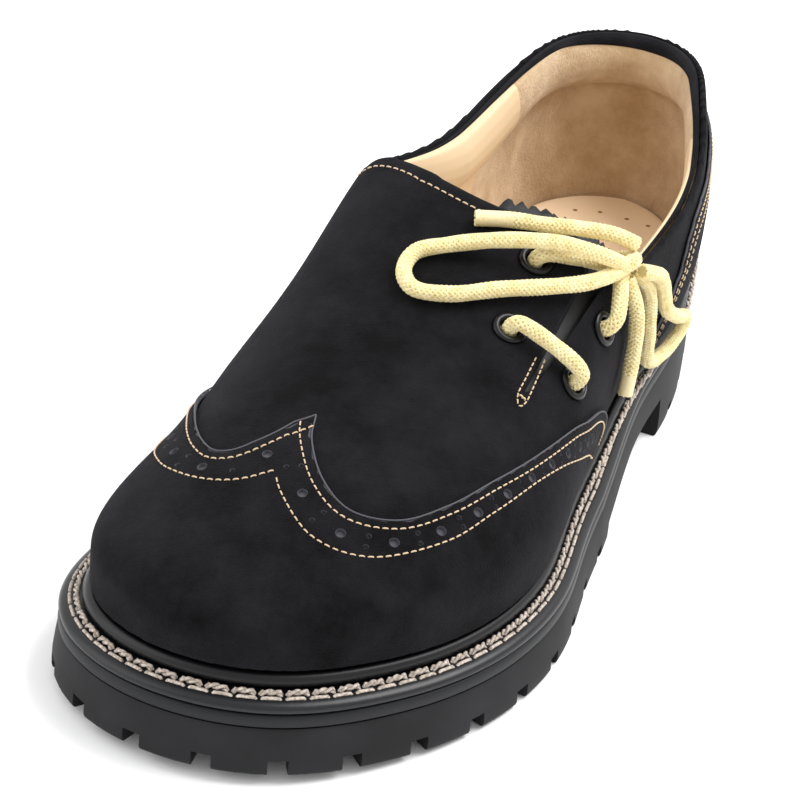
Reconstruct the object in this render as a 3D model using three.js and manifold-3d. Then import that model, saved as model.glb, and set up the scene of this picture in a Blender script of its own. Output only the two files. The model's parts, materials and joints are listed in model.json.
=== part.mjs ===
import * as THREE from 'three';
import { mergeVertices } from 'three/addons/utils/BufferGeometryUtils.js';
import { TessellateModifier } from 'three/addons/modifiers/TessellateModifier.js';
import Module from 'manifold-3d';

// A left haferl shoe, in mm. Toe to -Y, outer side to +X, floor at z = 0.

// Last and upper
const lastLength = 286;
const ballWidth = 96;
const instepHeight = 71;
const heelHeight = 29.5;
const foreHeight = 19;
const toeSpring = 3;
const leather = 2.2;
const gap = 0.3;
const overlay = 1.2;

// Sole
const weltFore = 10.3;
const weltHeel = 5.2;
const weltThick = 2.6;
const midsoleThick = 3.4;
const soleFlare = 2;
const lugDeep = 4.2;
const lugGroove = 4.8;
const lugPitch = 18;
const breastAt = 86;
const lugsFrom = 150;
const shankHeight = 11;

// Collar, throat and lace
const padThick = 6;
const padDeep = 17;
const slitTop = 5.5;
const slitFoot = 1.8;
const eyeletBore = 2.8;
const laceDiameter = 4;

const stationsRound = 66;
const rowsLow = 2;
const rowsHigh = 8;
const lowShare = 0.25;

// Half table of the last, from the heel back to the toe tip.
// at: spine point from the heel, share of lastLength. turn: degrees the section faces, back to front.
// outer, inner: reach from the spine to the feather edge. ridge: x of the spine.
// swellOut, swellIn: how far the side stands out past the feather. Shares of ballWidth, as is
// lift, the height of the widest point. fullOut, fullIn: exponent of the section's arch.
const last = [
  // at, turn, outer, inner, ridge, swellOut, swellIn, lift, fullOut, fullIn
  [0.1115, 90, 0.33, 0.33, -0.0417, 0.0469, 0.0469, 0.229, 1.6, 1.6],
  [0.1135, 48, 0.295, 0.305, -0.0417, 0.0427, 0.0438, 0.229, 1.5, 1.5],
  [0.1399, 10, 0.3, 0.28, -0.0365, 0.0396, 0.0417, 0.229, 1.6, 1.5],
  [0.2448, 0, 0.385, 0.25, -0.0417, 0.0417, 0.0365, 0.25, 2.4, 2.1],
  [0.3671, 0, 0.4333, 0.174, -0.0833, 0.0469, 0.0677, 0.292, 2.6, 2.6],
  [0.4895, 0, 0.5094, 0.1573, -0.125, 0.0521, 0.097, 0.333, 2.3, 3.1],
  [0.6119, 0, 0.5365, 0.2635, -0.1042, 0.0469, 0.035, 0.271, 2.2, 2.5],
  [0.7168, 0, 0.5625, 0.3594, -0.0729, 0.0365, 0.012, 0.177, 2.2, 2],
  [0.7972, -8, 0.5375, 0.358, -0.0625, 0.0313, 0.004, 0.156, 2.2, 1.97],
  [0.8357, -34, 0.4635, 0.43, -0.0573, 0.026, -0.004, 0.146, 2.2, 2.05],
  [0.8444, -62, 0.4563, 0.468, -0.0521, 0.0208, 0.006, 0.141, 2.2, 2.15],
  [0.8462, -90, 0.4635, 0.4635, -0.0521, 0.0208, 0.016, 0.135, 2.2, 2.2],
];

// Ridge line over the feather: share of lastLength from the heel, share of instepHeight.
const ridge = [
  // at, height
  [0, 1.76],
  [0.105, 1.718],
  [0.21, 1.577],
  [0.315, 1.366],
  [0.402, 1.197],
  [0.472, 1.063],
  [0.51, 1],
  [0.559, 0.915],
  [0.629, 0.803],
  [0.699, 0.697],
  [0.769, 0.599],
  [0.839, 0.507],
  [0.909, 0.415],
  [1.0035, 0.31],
];

// Top line of the quarters above the floor, shares of lastLength and of instepHeight.
const topline = [
  // at, outer side, inner side
  [-0.105, 1.25, 1.25],
  [0, 1.245, 1.245],
  [0.07, 1.23, 1.23],
  [0.15, 1.17, 1.195],
  [0.22, 1.085, 1.165],
  [0.3, 0.995, 1.145],
  [0.367, 0.965, 1.14],
  [0.42, 0.979, 1.162],
  [0.48, 1.014, 1.204],
  [0.559, 1.056, 1.268],
];

// Front edge of the throat: share of ballWidth across, share of lastLength from the heel.
const throat = [
  // across, at
  [-0.52, 0.479],
  [-0.36, 0.5],
  [-0.12, 0.52],
  [0.1, 0.529],
  [0.26, 0.514],
  [0.36, 0.499],
  [0.52, 0.457],
];

// Wing of the toe piece, from the welt up to its peak: station of the last, height up the section.
const wingOuter = [
  // station, up
  [4.95, -0.1],
  [5.15, 0.07],
  [5.55, 0.2],
  [6.11, 0.33],
  [6.42, 0.405],
  [6.88, 0.482],
  [7.57, 0.563],
  [8.11, 0.608],
  [8.54, 0.655],
  [8.9, 0.748],
  [8.98, 0.86],
  [8.63, 0.949],
  [8.16, 0.976],
];
const wingInner = [
  // station, up
  [8.47, 0.998],
  [13.12, 0.964],
  [12.91, 0.921],
  [12.83, 0.871],
  [12.985, 0.815],
  [13.29, 0.755],
  [13.63, 0.681],
  [14.04, 0.58],
  [14.45, 0.475],
  [14.85, 0.385],
  [15.25, 0.3],
  [15.7, 0.21],
  [16.1, 0.12],
  [16.35, 0.03],
  [16.45, -0.1],
];

// Front edge of the heel piece on each side.
const counterEdge = [
  // station, up
  [3.85, -0.1],
  [3.75, 0.08],
  [3.6, 0.175],
  [3.45, 0.24],
  [3.2, 0.3],
  [2.6, 0.345],
  [1.6, 0.385],
  [0.8, 0.405],
  [0, 0.41],
];

const wasm = await Module();
wasm.setup();

// Smooth line through rows of a table; past its ends it goes on straight.
function through(rows, column) {
  const x = rows.map((row) => row[0]);
  const y = rows.map((row) => row[column]);
  const n = x.length;
  const bend = new Array(n).fill(0);
  for (let pass = 0; pass < 90; pass++) {
    for (let i = 1; i < n - 1; i++) {
      const a = x[i] - x[i - 1];
      const b = x[i + 1] - x[i];
      const rise = (y[i + 1] - y[i]) / b - (y[i] - y[i - 1]) / a;
      bend[i] = (6 * rise - a * bend[i - 1] - b * bend[i + 1]) / (2 * (a + b));
    }
  }
  const between = (t) => {
    let i = 0;
    while (i < n - 2 && t > x[i + 1]) i++;
    const h = x[i + 1] - x[i];
    const q = (t - x[i]) / h;
    const p = 1 - q;
    const sway = (p ** 3 - p) * bend[i] + (q ** 3 - q) * bend[i + 1];
    return p * y[i] + q * y[i + 1] + (sway * h * h) / 6;
  };
  const first = (between(x[0] + 1e-4) - y[0]) / 1e-4;
  const end = (y[n - 1] - between(x[n - 1] - 1e-4)) / 1e-4;
  return (t) => {
    if (t < x[0]) return y[0] + first * (t - x[0]);
    if (t > x[n - 1]) return y[n - 1] + end * (t - x[n - 1]);
    return between(t);
  };
}

// Smooth closed line through values that are evenly spaced round the foot.
function round(values) {
  const n = values.length;
  const bend = new Array(n).fill(0);
  for (let pass = 0; pass < 60; pass++) {
    for (let i = 0; i < n; i++) {
      const before = (i + n - 1) % n;
      const after = (i + 1) % n;
      const sag = values[before] - 2 * values[i] + values[after];
      bend[i] = (6 * sag - bend[before] - bend[after]) / 4;
    }
  }
  return (t) => {
    const q = t - Math.floor(t);
    const i = ((Math.floor(t) % n) + n) % n;
    const j = (i + 1) % n;
    const p = 1 - q;
    const sway = (p ** 3 - p) * bend[i] + (q ** 3 - q) * bend[j];
    return p * values[i] + q * values[j] + sway / 6;
  };
}

const rounds = 2 * last.length - 2;
const halfWay = last.length - 1;
const column = (outer, inner, size) => {
  const values = [];
  for (let i = 0; i < rounds; i++) {
    const row = last[i <= halfWay ? i : rounds - i];
    values.push(row[i <= halfWay ? outer : inner] * size);
  }
  return round(values);
};
const spineAt = column(0, 0, lastLength);
const spineX = column(4, 4, ballWidth);
const reach = column(2, 3, ballWidth);
const swell = column(5, 6, ballWidth);
const lift = column(7, 7, ballWidth);
const full = column(8, 9, 1);
const turned = [];
for (let i = 0; i < rounds; i++) {
  const turn = (last[i <= halfWay ? i : rounds - i][1] * Math.PI) / 180;
  const heading = i <= halfWay ? turn : -Math.PI - turn;
  turned.push(heading - Math.PI / 2 + (2 * Math.PI * i) / rounds);
}
const turnSway = round(turned);
const ridgeShare = through(ridge, 1);
const ridgeHeight = (at) => ridgeShare(at / lastLength) * instepHeight;

// Height of the feather edge over the floor along the shoe.
const featherRows = [
  [-0.07, heelHeight + 0.3],
  [0, heelHeight],
  [0.14, heelHeight - 0.3],
  [0.264, heelHeight - 1.5],
  [0.405, (heelHeight + foreHeight) / 2 + 0.5],
  [0.546, foreHeight + 1.5],
  [0.669, foreHeight],
  [0.775, foreHeight + 0.1 * toeSpring],
  [0.88, foreHeight + 0.35 * toeSpring],
  [1, foreHeight + toeSpring],
  [1.056, foreHeight + 1.4 * toeSpring],
];
const featherShare = through(featherRows, 1);
const feather = (at) => featherShare(at / lastLength);

// A point of the last: station round the foot, share up the section, distance off the last.
function onLast(station, up, off) {
  const s = ((station % rounds) + rounds) % rounds;
  const heading = turnSway(s) + Math.PI / 2 - (2 * Math.PI * s) / rounds;
  const foot = reach(s) + off;
  const belly = foot + swell(s);
  let r;
  let z;
  let arch = 0;
  if (up < lowShare) {
    const q = up / lowShare;
    r = foot + (belly - foot) * Math.sin((Math.max(q, -1) * Math.PI) / 2);
    z = lift(s) * q;
  } else {
    const q = Math.min(1, (up - lowShare) / (1 - lowShare));
    const t = (q * Math.PI) / 2;
    r = q >= 1 ? 0 : belly * Math.cos(t) ** (2 / full(s));
    z = lift(s);
    arch = Math.sin(t) ** (2 / full(s));
  }
  const at = spineAt(s) - Math.sin(heading) * r;
  z += arch * (ridgeHeight(at) + off - lift(s));
  return new THREE.Vector3(spineX(s) + Math.cos(heading) * r, -at, feather(at) + z);
}

const upAtHeight = (station, height) => (lowShare * height) / lift(((station % rounds) + rounds) % rounds);

function normalAt(station, up, off) {
  const a = onLast(station + 0.02, up, off).sub(onLast(station - 0.02, up, off));
  const b = onLast(station, up + 0.004, off).sub(onLast(station, up - 0.004, off));
  return b.cross(a).normalize();
}

// Edge of the sole at a distance off the feather edge, at a height given by a function.
const weltAt = (at) => {
  const t = THREE.MathUtils.clamp((at - 0.25 * lastLength) / (0.3 * lastLength), 0, 1);
  return weltHeel + (weltFore - weltHeel) * t;
};
function edge(station, off, height) {
  const base = onLast(station, 0, 0);
  const p = onLast(station, 0, typeof off === 'function' ? off(-base.y) : off);
  p.z = height(-p.y, p);
  return p;
}

function geometryOf(points, faces) {
  const geometry = new THREE.BufferGeometry();
  const flat = new Float32Array(points.length * 3);
  points.forEach((p, i) => flat.set([p.x, p.y, p.z], 3 * i));
  geometry.setAttribute('position', new THREE.BufferAttribute(flat, 3));
  geometry.setIndex(faces);
  return geometry;
}

function solidOf(geometry) {
  const bare = new THREE.BufferGeometry();
  bare.setAttribute('position', geometry.getAttribute('position').clone());
  if (geometry.index) bare.setIndex(geometry.index.clone());
  const whole = mergeVertices(bare, 1e-3);
  const place = whole.getAttribute('position').array;
  const raw = whole.index.array;
  const faces = [];
  for (let i = 0; i < raw.length; i += 3) {
    const [a, b, c] = [raw[i], raw[i + 1], raw[i + 2]];
    if (a !== b && b !== c && c !== a) faces.push(a, b, c);
  }
  let volume = 0;
  for (let i = 0; i < faces.length; i += 3) {
    const [a, b, c] = [0, 1, 2].map((k) => new THREE.Vector3().fromArray(place, 3 * faces[i + k]));
    volume += a.dot(b.cross(c));
  }
  if (volume < 0) faces.reverse();
  const mesh = new wasm.Mesh({
    numProp: 3,
    vertProperties: new Float32Array(place),
    triVerts: new Uint32Array(faces),
  });
  return new wasm.Manifold(mesh);
}

// Skin through a row of loops with equal counts of points.
function skin(loops, closed) {
  const n = loops[0].length;
  const points = loops.flat();
  const faces = [];
  const last = closed ? loops.length : loops.length - 1;
  for (let k = 0; k < last; k++) {
    const next = (k + 1) % loops.length;
    for (let i = 0; i < n; i++) {
      const j = (i + 1) % n;
      const [a, b, c, d] = [k * n + i, k * n + j, next * n + j, next * n + i];
      faces.push(a, b, c, a, c, d);
    }
  }
  if (!closed) {
    for (const k of [0, loops.length - 1]) {
      const middle = new THREE.Vector3();
      loops[k].forEach((p) => middle.addScaledVector(p, 1 / n));
      points.push(middle);
      for (let i = 0; i < n; i++) {
        const j = (i + 1) % n;
        const [a, b] = [k * n + i, k * n + j];
        if (k === 0) faces.push(b, a, points.length - 1);
        else faces.push(a, b, points.length - 1);
      }
    }
  }
  return geometryOf(points, faces);
}

// Plate between rings round the foot, closed by straight strips across it.
function plate(rings) {
  const n = rings[0].length;
  const points = rings.flat();
  const faces = [];
  for (let k = 0; k < rings.length - 1; k++) {
    for (let i = 0; i < n; i++) {
      const j = (i + 1) % n;
      const [a, b, c, d] = [k * n + i, k * n + j, (k + 1) * n + j, (k + 1) * n + i];
      faces.push(a, b, c, a, c, d);
    }
  }
  for (const [k, flip] of [[0, true], [rings.length - 1, false]]) {
    for (let i = 0; i < n / 2; i++) {
      const [a, b] = [k * n + i, k * n + i + 1];
      const [c, d] = [k * n + n - i - 1, k * n + ((n - i) % n)];
      if (i > 0) faces.push(...(flip ? [a, d, b] : [a, b, d]));
      if (i < n / 2 - 1) faces.push(...(flip ? [b, d, c] : [b, c, d]));
    }
  }
  return geometryOf(points, faces);
}

const stations = [];
for (let i = 0; i < stationsRound; i++) stations.push((i * rounds) / stationsRound);
const ups = [];
for (let j = 0; j < rowsLow; j++) ups.push((j * lowShare) / rowsLow);
for (let j = 0; j <= rowsHigh; j++) ups.push(lowShare + (j * (1 - lowShare)) / rowsHigh);

// Closed wall round the whole last between two distances off it, open only underneath.
function wall(inner, outer) {
  const n = stations.length;
  const m = ups.length;
  const points = [];
  const index = [];
  for (const off of [inner, outer]) {
    const sheet = [];
    for (let i = 0; i < n; i++) {
      sheet.push([]);
      for (let j = 0; j < m; j++) {
        if (j === m - 1 && i > n / 2) {
          sheet[i].push(sheet[n - i][j]);
        } else {
          sheet[i].push(points.length);
          points.push(onLast(stations[i], ups[j], off));
        }
      }
    }
    index.push(sheet);
  }
  const faces = [];
  for (let i = 0; i < n; i++) {
    const k = (i + 1) % n;
    for (let j = 0; j < m - 1; j++) {
      const [a, b, c, d] = [index[1][i][j], index[1][k][j], index[1][k][j + 1], index[1][i][j + 1]];
      faces.push(a, b, c, a, c, d);
      const [e, f, g, h] = [index[0][i][j], index[0][k][j], index[0][k][j + 1], index[0][i][j + 1]];
      faces.push(e, g, f, e, h, g);
    }
    const [a, b] = [index[1][i][0], index[1][k][0]];
    const [c, d] = [index[0][k][0], index[0][i][0]];
    faces.push(a, c, b, a, d, c);
  }
  return solidOf(geometryOf(points, faces));
}

// Flat pattern of the upper: each section laid out straight from the ridge.
const girths = round(
  Array.from({ length: rounds }, (_, s) => {
    let sum = 0;
    for (let i = 0; i < 30; i++) sum += onLast(s, i / 30, 0).distanceTo(onLast(s, (i + 1) / 30, 0));
    return sum;
  }),
);
const headingAt = (s) => turnSway(s) + Math.PI / 2 - (2 * Math.PI * s) / rounds;
function toPattern(station, up) {
  const s = ((station % rounds) + rounds) % rounds;
  const far = girths(s) * (1 - up);
  const heading = headingAt(s);
  return new THREE.Vector2(Math.cos(heading) * far, -spineAt(s) + Math.sin(heading) * far);
}
function fromPattern(p) {
  const outerSide = p.x >= 0;
  let [a, b] = outerSide ? [0, halfWay] : [rounds, halfWay];
  for (let i = 0; i < 26; i++) {
    const s = (a + b) / 2;
    const heading = headingAt(s);
    const cross = Math.cos(heading) * (p.y + spineAt(s)) - Math.sin(heading) * p.x;
    const ahead = outerSide ? cross < 0 : cross > 0;
    if (ahead) a = s;
    else b = s;
  }
  const s = (a + b) / 2;
  return [s, 1 - Math.hypot(p.x, p.y + spineAt(s)) / girths(s % rounds)];
}

// A patch of the pattern as a solid between two distances off the last.
function patch(outline, inner, outer, cell) {
  const shape = new THREE.Shape(outline);
  const flat = new THREE.ExtrudeGeometry(shape, { depth: 1, bevelEnabled: false, steps: 1 });
  flat.deleteAttribute('normal');
  flat.deleteAttribute('uv');
  const fine = new TessellateModifier(cell, 12).modify(flat);
  const place = fine.getAttribute('position');
  for (let i = 0; i < place.count; i++) {
    const [s, up] = fromPattern(new THREE.Vector2(place.getX(i), place.getY(i)));
    const p = onLast(s, up, place.getZ(i) > 0.5 ? outer : inner);
    place.setXYZ(i, p.x, p.y, p.z);
  }
  return solidOf(fine);
}

function smoothPattern(rows, count) {
  const line = new THREE.SplineCurve(rows.map((row) => toPattern(row[0], row[1])));
  return line.getPoints(count);
}

// Height of the top line over any point of the plan.
const toplineOut = through(topline, 1);
const toplineIn = through(topline, 2);
function toplineAt(x, at) {
  const t = THREE.MathUtils.smoothstep(x, -0.16 * ballWidth, 0.16 * ballWidth);
  const [a, b] = [toplineIn(at / lastLength), toplineOut(at / lastLength)];
  return (a + (b - a) * t) * instepHeight;
}
const throatAt = through(throat, 1);

// The room over the collar and behind the throat, cut out of the closed wall.
function collarRoom() {
  const across = 20;
  const along = 16;
  const points = [];
  const id = (i, j, k) => (i * (along + 1) + j) * 2 + k;
  for (let i = 0; i <= across; i++) {
    const x = ((i / across) * 1.6 - 0.8) * ballWidth;
    const front = throatAt(x / ballWidth) * lastLength;
    for (let j = 0; j <= along; j++) {
      const at = -0.2 * lastLength + (j / along) * (front + 0.2 * lastLength);
      points.push(new THREE.Vector3(x, -at, toplineAt(x, at)));
      points.push(new THREE.Vector3(x, -at, 3.5 * instepHeight));
    }
  }
  const faces = [];
  const quad = (a, b, c, d) => faces.push(a, b, c, a, c, d);
  for (let i = 0; i < across; i++) {
    for (let j = 0; j < along; j++) {
      quad(id(i, j, 0), id(i + 1, j, 0), id(i + 1, j + 1, 0), id(i, j + 1, 0));
      quad(id(i, j, 1), id(i, j + 1, 1), id(i + 1, j + 1, 1), id(i + 1, j, 1));
    }
    quad(id(i, 0, 0), id(i, 0, 1), id(i + 1, 0, 1), id(i + 1, 0, 0));
    quad(id(i, along, 0), id(i + 1, along, 0), id(i + 1, along, 1), id(i, along, 1));
  }
  for (let j = 0; j < along; j++) {
    quad(id(0, j, 0), id(0, j + 1, 0), id(0, j + 1, 1), id(0, j, 1));
    quad(id(across, j, 0), id(across, j, 1), id(across, j + 1, 1), id(across, j + 1, 0));
  }
  return solidOf(geometryOf(points, faces));
}

function tube(points, radius, sides, steps) {
  const path = new THREE.CatmullRomCurve3(points, false, 'centripetal');
  const disc = new THREE.Shape();
  for (let i = 0; i < sides; i++) {
    const a = (2 * Math.PI * (i + 0.5)) / sides;
    const [x, y] = [Math.cos(a) * radius, Math.sin(a) * radius];
    if (i) disc.lineTo(x, y);
    else disc.moveTo(x, y);
  }
  return new THREE.ExtrudeGeometry(disc, { steps, bevelEnabled: false, extrudePath: path });
}

const group = new THREE.Group();
const place = new THREE.Vector3();
function add(name, solid, material) {
  const mesh = solid.getMesh();
  const geometry = new THREE.BufferGeometry();
  geometry.setAttribute('position', new THREE.BufferAttribute(mesh.vertProperties, 3));
  geometry.setIndex(new THREE.BufferAttribute(mesh.triVerts, 1));
  geometry.translate(place.x, place.y, 0);
  geometry.computeVertexNormals();
  const shown = new THREE.Mesh(geometry, new THREE.MeshStandardMaterial(material));
  shown.material.name = material.name;
  shown.name = name;
  group.add(shown);
}

const blackSuede = { name: 'black_suede', color: 0x1b1b20, roughness: 0.95 };
const blackLeather = { name: 'black_leather', color: 0x17171b, roughness: 0.5 };
const blackRubber = { name: 'black_rubber', color: 0x1f1f23, roughness: 0.75 };
const tanSuede = { name: 'tan_suede', color: 0xc8a06e, roughness: 0.95 };
const paleLeather = { name: 'pale_leather', color: 0xf0cfa4, roughness: 0.6 };
const blackMetal = { name: 'black_metal', color: 0x101012, roughness: 0.3, metalness: 0.6 };
const creamCord = { name: 'cream_cord', color: 0xdccb8c, roughness: 0.85 };

// Outsole: lugged rubber block with the heel in one piece.
const soleTop = (at) => feather(at) - 3 * gap - weltThick - midsoleThick;
const springFrom = 0.669 * lastLength;
const ground = (at) => (at < springFrom ? 0 : Math.max(0, feather(at) - foreHeight - 0.05));
const soleRing = (out, share) =>
  stations.map((s) =>
    edge(s, (at) => weltAt(at) + out, (at) => ground(at) + (soleTop(at) - ground(at)) * share),
  );
let outsole = solidOf(
  plate([
    soleRing(soleFlare - 0.9, 0),
    soleRing(soleFlare, 0.09),
    soleRing(soleFlare - 0.3, 0.5),
    soleRing(0.5, 1),
  ]),
);
const middle = outsole.boundingBox();
const heelPieceBack = onLast(0, lowShare, leather + gap + overlay).y;
const backMost = Math.max(middle.max[1], heelPieceBack);
place.set(-(middle.min[0] + middle.max[0]) / 2, -(middle.min[1] + backMost) / 2, 0);

// The arch between the heel breast and the first lugs.
const shank = new THREE.Shape([
  [breastAt + 1.5, -3],
  [breastAt, shankHeight + 1],
  [breastAt + 12, shankHeight + 0.5],
  [breastAt + 30, shankHeight - 1],
  [breastAt + 48, shankHeight - 3.5],
  [lugsFrom - 1.5, lugDeep + 1],
  [lugsFrom + 1, -3],
].map(([at, z]) => new THREE.Vector2(at, z)));
const arch = new THREE.ExtrudeGeometry(shank, { depth: 2 * ballWidth, bevelEnabled: false });
arch.rotateX(Math.PI / 2);
arch.rotateZ(-Math.PI / 2);
arch.translate(-ballWidth, 0, 0);
outsole = outsole.subtract(solidOf(arch));

// Grooves between the lugs, cut in from the edge all round the tread.
const rim = [];
for (let i = 0; i <= 600; i++) {
  const s = (i / 600) * rounds;
  rim.push(edge(s, (at) => weltAt(at) + soleFlare, ground));
}
const along = [0];
for (let i = 1; i < rim.length; i++) along.push(along[i - 1] + rim[i].distanceTo(rim[i - 1]));
const onRim = (distance) => {
  let i = along.findIndex((value) => value > distance);
  i = Math.max(1, i);
  return (rounds * (i - (along[i] - distance) / (along[i] - along[i - 1]))) / 600;
};
function groove(station, long, wide) {
  const p = edge(station, (at) => weltAt(at) + soleFlare, ground);
  const q = edge(station + 0.05, (at) => weltAt(at) + soleFlare, ground);
  const box = new THREE.BoxGeometry(long + 8, wide, lugDeep + 4);
  box.translate(4 - long / 2, 0, (lugDeep - 4) / 2);
  box.rotateZ(Math.atan2(q.y - p.y, q.x - p.x) + Math.PI / 2);
  box.translate(p.x, p.y, p.z);
  return solidOf(box);
}
const total = along[along.length - 1];
const tips = Math.round(total / lugPitch);
const cuts = [];
for (let i = 0; i < tips; i++) {
  const station = onRim(((i + 0.5) * total) / tips);
  const at = -edge(station, 0, ground).y;
  const nearStep = Math.abs(at - lugsFrom) < 9 || Math.abs(at - breastAt) < 9;
  if ((at > breastAt && at < lugsFrom) || nearStep) continue;
  cuts.push(groove(station, at < breastAt ? 10 : 13, lugGroove));
}

// Channel inside the edge lugs, and cross grooves over the middle of the tread.
function channel(from, to) {
  const loop = (s) => {
    const a = edge(s, (at) => weltAt(at) + soleFlare - from, ground);
    const b = edge(s, (at) => weltAt(at) + soleFlare - to, ground);
    return [
      new THREE.Vector3(a.x, a.y, -4),
      new THREE.Vector3(b.x, b.y, -4),
      new THREE.Vector3(b.x, b.y, b.z + lugDeep),
      new THREE.Vector3(a.x, a.y, a.z + lugDeep),
    ];
  };
  return solidOf(skin(stations.filter((_, i) => i % 2 === 0).map(loop), true));
}
cuts.push(channel(14, 18));
const crossings = [0.1, 0.17, 0.57, 0.63, 0.69, 0.75, 0.81, 0.87, 0.93];
for (const share of crossings) {
  const at = share * lastLength;
  const box = new THREE.BoxGeometry(0.66 * ballWidth, 3.4, lugDeep + 4);
  box.translate(share < 0.3 ? -3 : 0, -at, ground(at) + (lugDeep - 4) / 2);
  cuts.push(solidOf(box));
}
let grooves = cuts[0];
for (const cut of cuts.slice(1)) grooves = grooves.add(cut);
outsole = outsole.subtract(grooves);
add('outsole', outsole, blackRubber);

// Midsole: the rubber band between outsole and welt.
const midRing = (out, height) =>
  stations.map((s) => edge(s, (at) => weltAt(at) + out, (at) => feather(at) + height));
const midTop = -2 * gap - weltThick;
add(
  'midsole',
  solidOf(plate([midRing(0.2, midTop - midsoleThick), midRing(-0.2, midTop)])),
  blackRubber,
);

// Welt: the strip stitched down round the foot, its upper outside edge rounded.
const weltLoop = (s) =>
  [
    [0, -gap - weltThick, 0],
    [0.1, -gap - weltThick, 1],
    [0.3, -gap - 0.6 * weltThick, 1],
    [-0.3, -gap - 0.2 * weltThick, 1],
    [-1.4, -gap, 1],
    [0, -gap, 0],
  ].map(([out, z, outside]) =>
    edge(s, (at) => out + outside * weltAt(at), (at) => feather(at) + z),
  );
add('welt', solidOf(skin(stations.map(weltLoop), true)), blackLeather);

// Insole: pale sock on its board, filling the ring of the welt.
const insoleRing = (off, z) => stations.map((s) => edge(s, off, (at) => feather(at) + z));
const insoleTop = 3;
add(
  'insole',
  solidOf(plate([insoleRing(-0.5, midTop + gap), insoleRing(-0.5, insoleTop - 0.8), insoleRing(-1.4, insoleTop)])),
  paleLeather,
);

// Upper: vamp and quarters as one wall, open at collar, throat, side slit and underneath.
const collar = collarRoom();
const slitShape = [];
const slitX = 0.375 * ballWidth;
const slitEnd = 0.672 * lastLength;
slitShape.push([slitX - slitTop / 2 - 0.6, 0.41 * lastLength]);
slitShape.push([slitX - slitFoot / 2 + 0.6, slitEnd]);
slitShape.push([slitX + 0.7, slitEnd + slitFoot]);
slitShape.push([slitX + slitFoot / 2 + 0.9, slitEnd]);
slitShape.push([slitX + slitTop / 2 + 0.6, 0.41 * lastLength]);
const slitFlat = new THREE.Shape(slitShape.map(([x, at]) => new THREE.Vector2(x, -at)));
const slit = new THREE.ExtrudeGeometry(slitFlat, { depth: 2 * instepHeight, bevelEnabled: false });
slit.translate(0, 0, 0.7 * instepHeight);

const eyelets = [
  // name, station, up
  ['eyelet_vamp_low', 6.2, 0.705],
  ['eyelet_vamp_top', 5.55, 0.71],
  ['eyelet_quarter_low', 6.1, 0.46],
  ['eyelet_quarter_top', 5.45, 0.42],
];
const seats = eyelets.map(([name, station, up]) => ({
  name,
  point: onLast(station, up, leather),
  out: normalAt(station, up, leather),
}));
seats.forEach((seat) => {
  const away = seat.point.clone().sub(new THREE.Vector3(0, seat.point.y, foreHeight));
  if (seat.out.dot(away) < 0) seat.out.negate();
});
const up = new THREE.Vector3(0, 1, 0);
function lathe(profile, seat, sides) {
  const ring = new THREE.LatheGeometry(profile.map(([r, h]) => new THREE.Vector2(r, h)), sides);
  ring.applyQuaternion(new THREE.Quaternion().setFromUnitVectors(up, seat.out));
  ring.translate(seat.point.x, seat.point.y, seat.point.z);
  return solidOf(ring);
}
const tubeWall = 0.5;
let upper = wall(0, leather).subtract(collar).subtract(solidOf(slit));
for (const seat of seats) {
  const hole = eyeletBore + tubeWall + gap;
  upper = upper.subtract(lathe([[0, -5], [hole, -5], [hole, 5], [0, 5]], seat, 16));
}
add('upper', upper, blackSuede);

// Wing cap and heel piece, laid over the upper.
const over = wall(leather + gap, leather + gap + overlay);
const aboveRand = 4.4;
function footLine(from, to, count) {
  const line = [];
  for (let i = 0; i <= count; i++) {
    const s = from + ((to - from) * i) / count;
    line.push(toPattern(s, upAtHeight(s, aboveRand)));
  }
  return line;
}
const trim = (line) => line.filter((p) => {
  const [s, high] = fromPattern(p);
  return high > upAtHeight(s, aboveRand) + 0.01;
});
const wingLine = trim([...smoothPattern(wingOuter, 28), ...smoothPattern(wingInner, 28)]);
const wingEnds = [wingLine[0], wingLine[wingLine.length - 1]].map((p) => fromPattern(p)[0]);
const wingFoot = footLine(wingEnds[1], wingEnds[0], 26);
const cap = over.intersect(patch([...wingLine, ...wingFoot], 0.6, 7, 24));
add('wing_cap', cap, blackSuede);

const counterOuter = counterEdge.map(([s, high]) => [s, high]);
const counterInner = counterEdge.slice(0, -1).reverse().map(([s, high]) => [rounds - s, high]);
const counterPoints = trim(smoothPattern([...counterOuter, ...counterInner], 30));
const counterEnds = [counterPoints[0], counterPoints[counterPoints.length - 1]].map((p) => fromPattern(p)[0]);
const counterFoot = footLine(counterEnds[1] - rounds, counterEnds[0], 16);
const heelPiece = over.intersect(patch([...counterPoints, ...counterFoot], 0.6, 7, 24));
add('heel_counter', heelPiece, blackSuede);

// Rand: the rolled leather edge along the foot of the upper.
const randLoop = (s) =>
  [
    [leather + gap, 0],
    [leather + 2.6, 0],
    [leather + 3.2, 1.2],
    [leather + 2.7, 2.6],
    [leather + 1.5, 3.6],
    [leather + gap, 3.4],
  ].map(([off, z]) => onLast(s, upAtHeight(s, z), off));
add('rand', solidOf(skin(stations.map(randLoop), true)), blackLeather);

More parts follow.
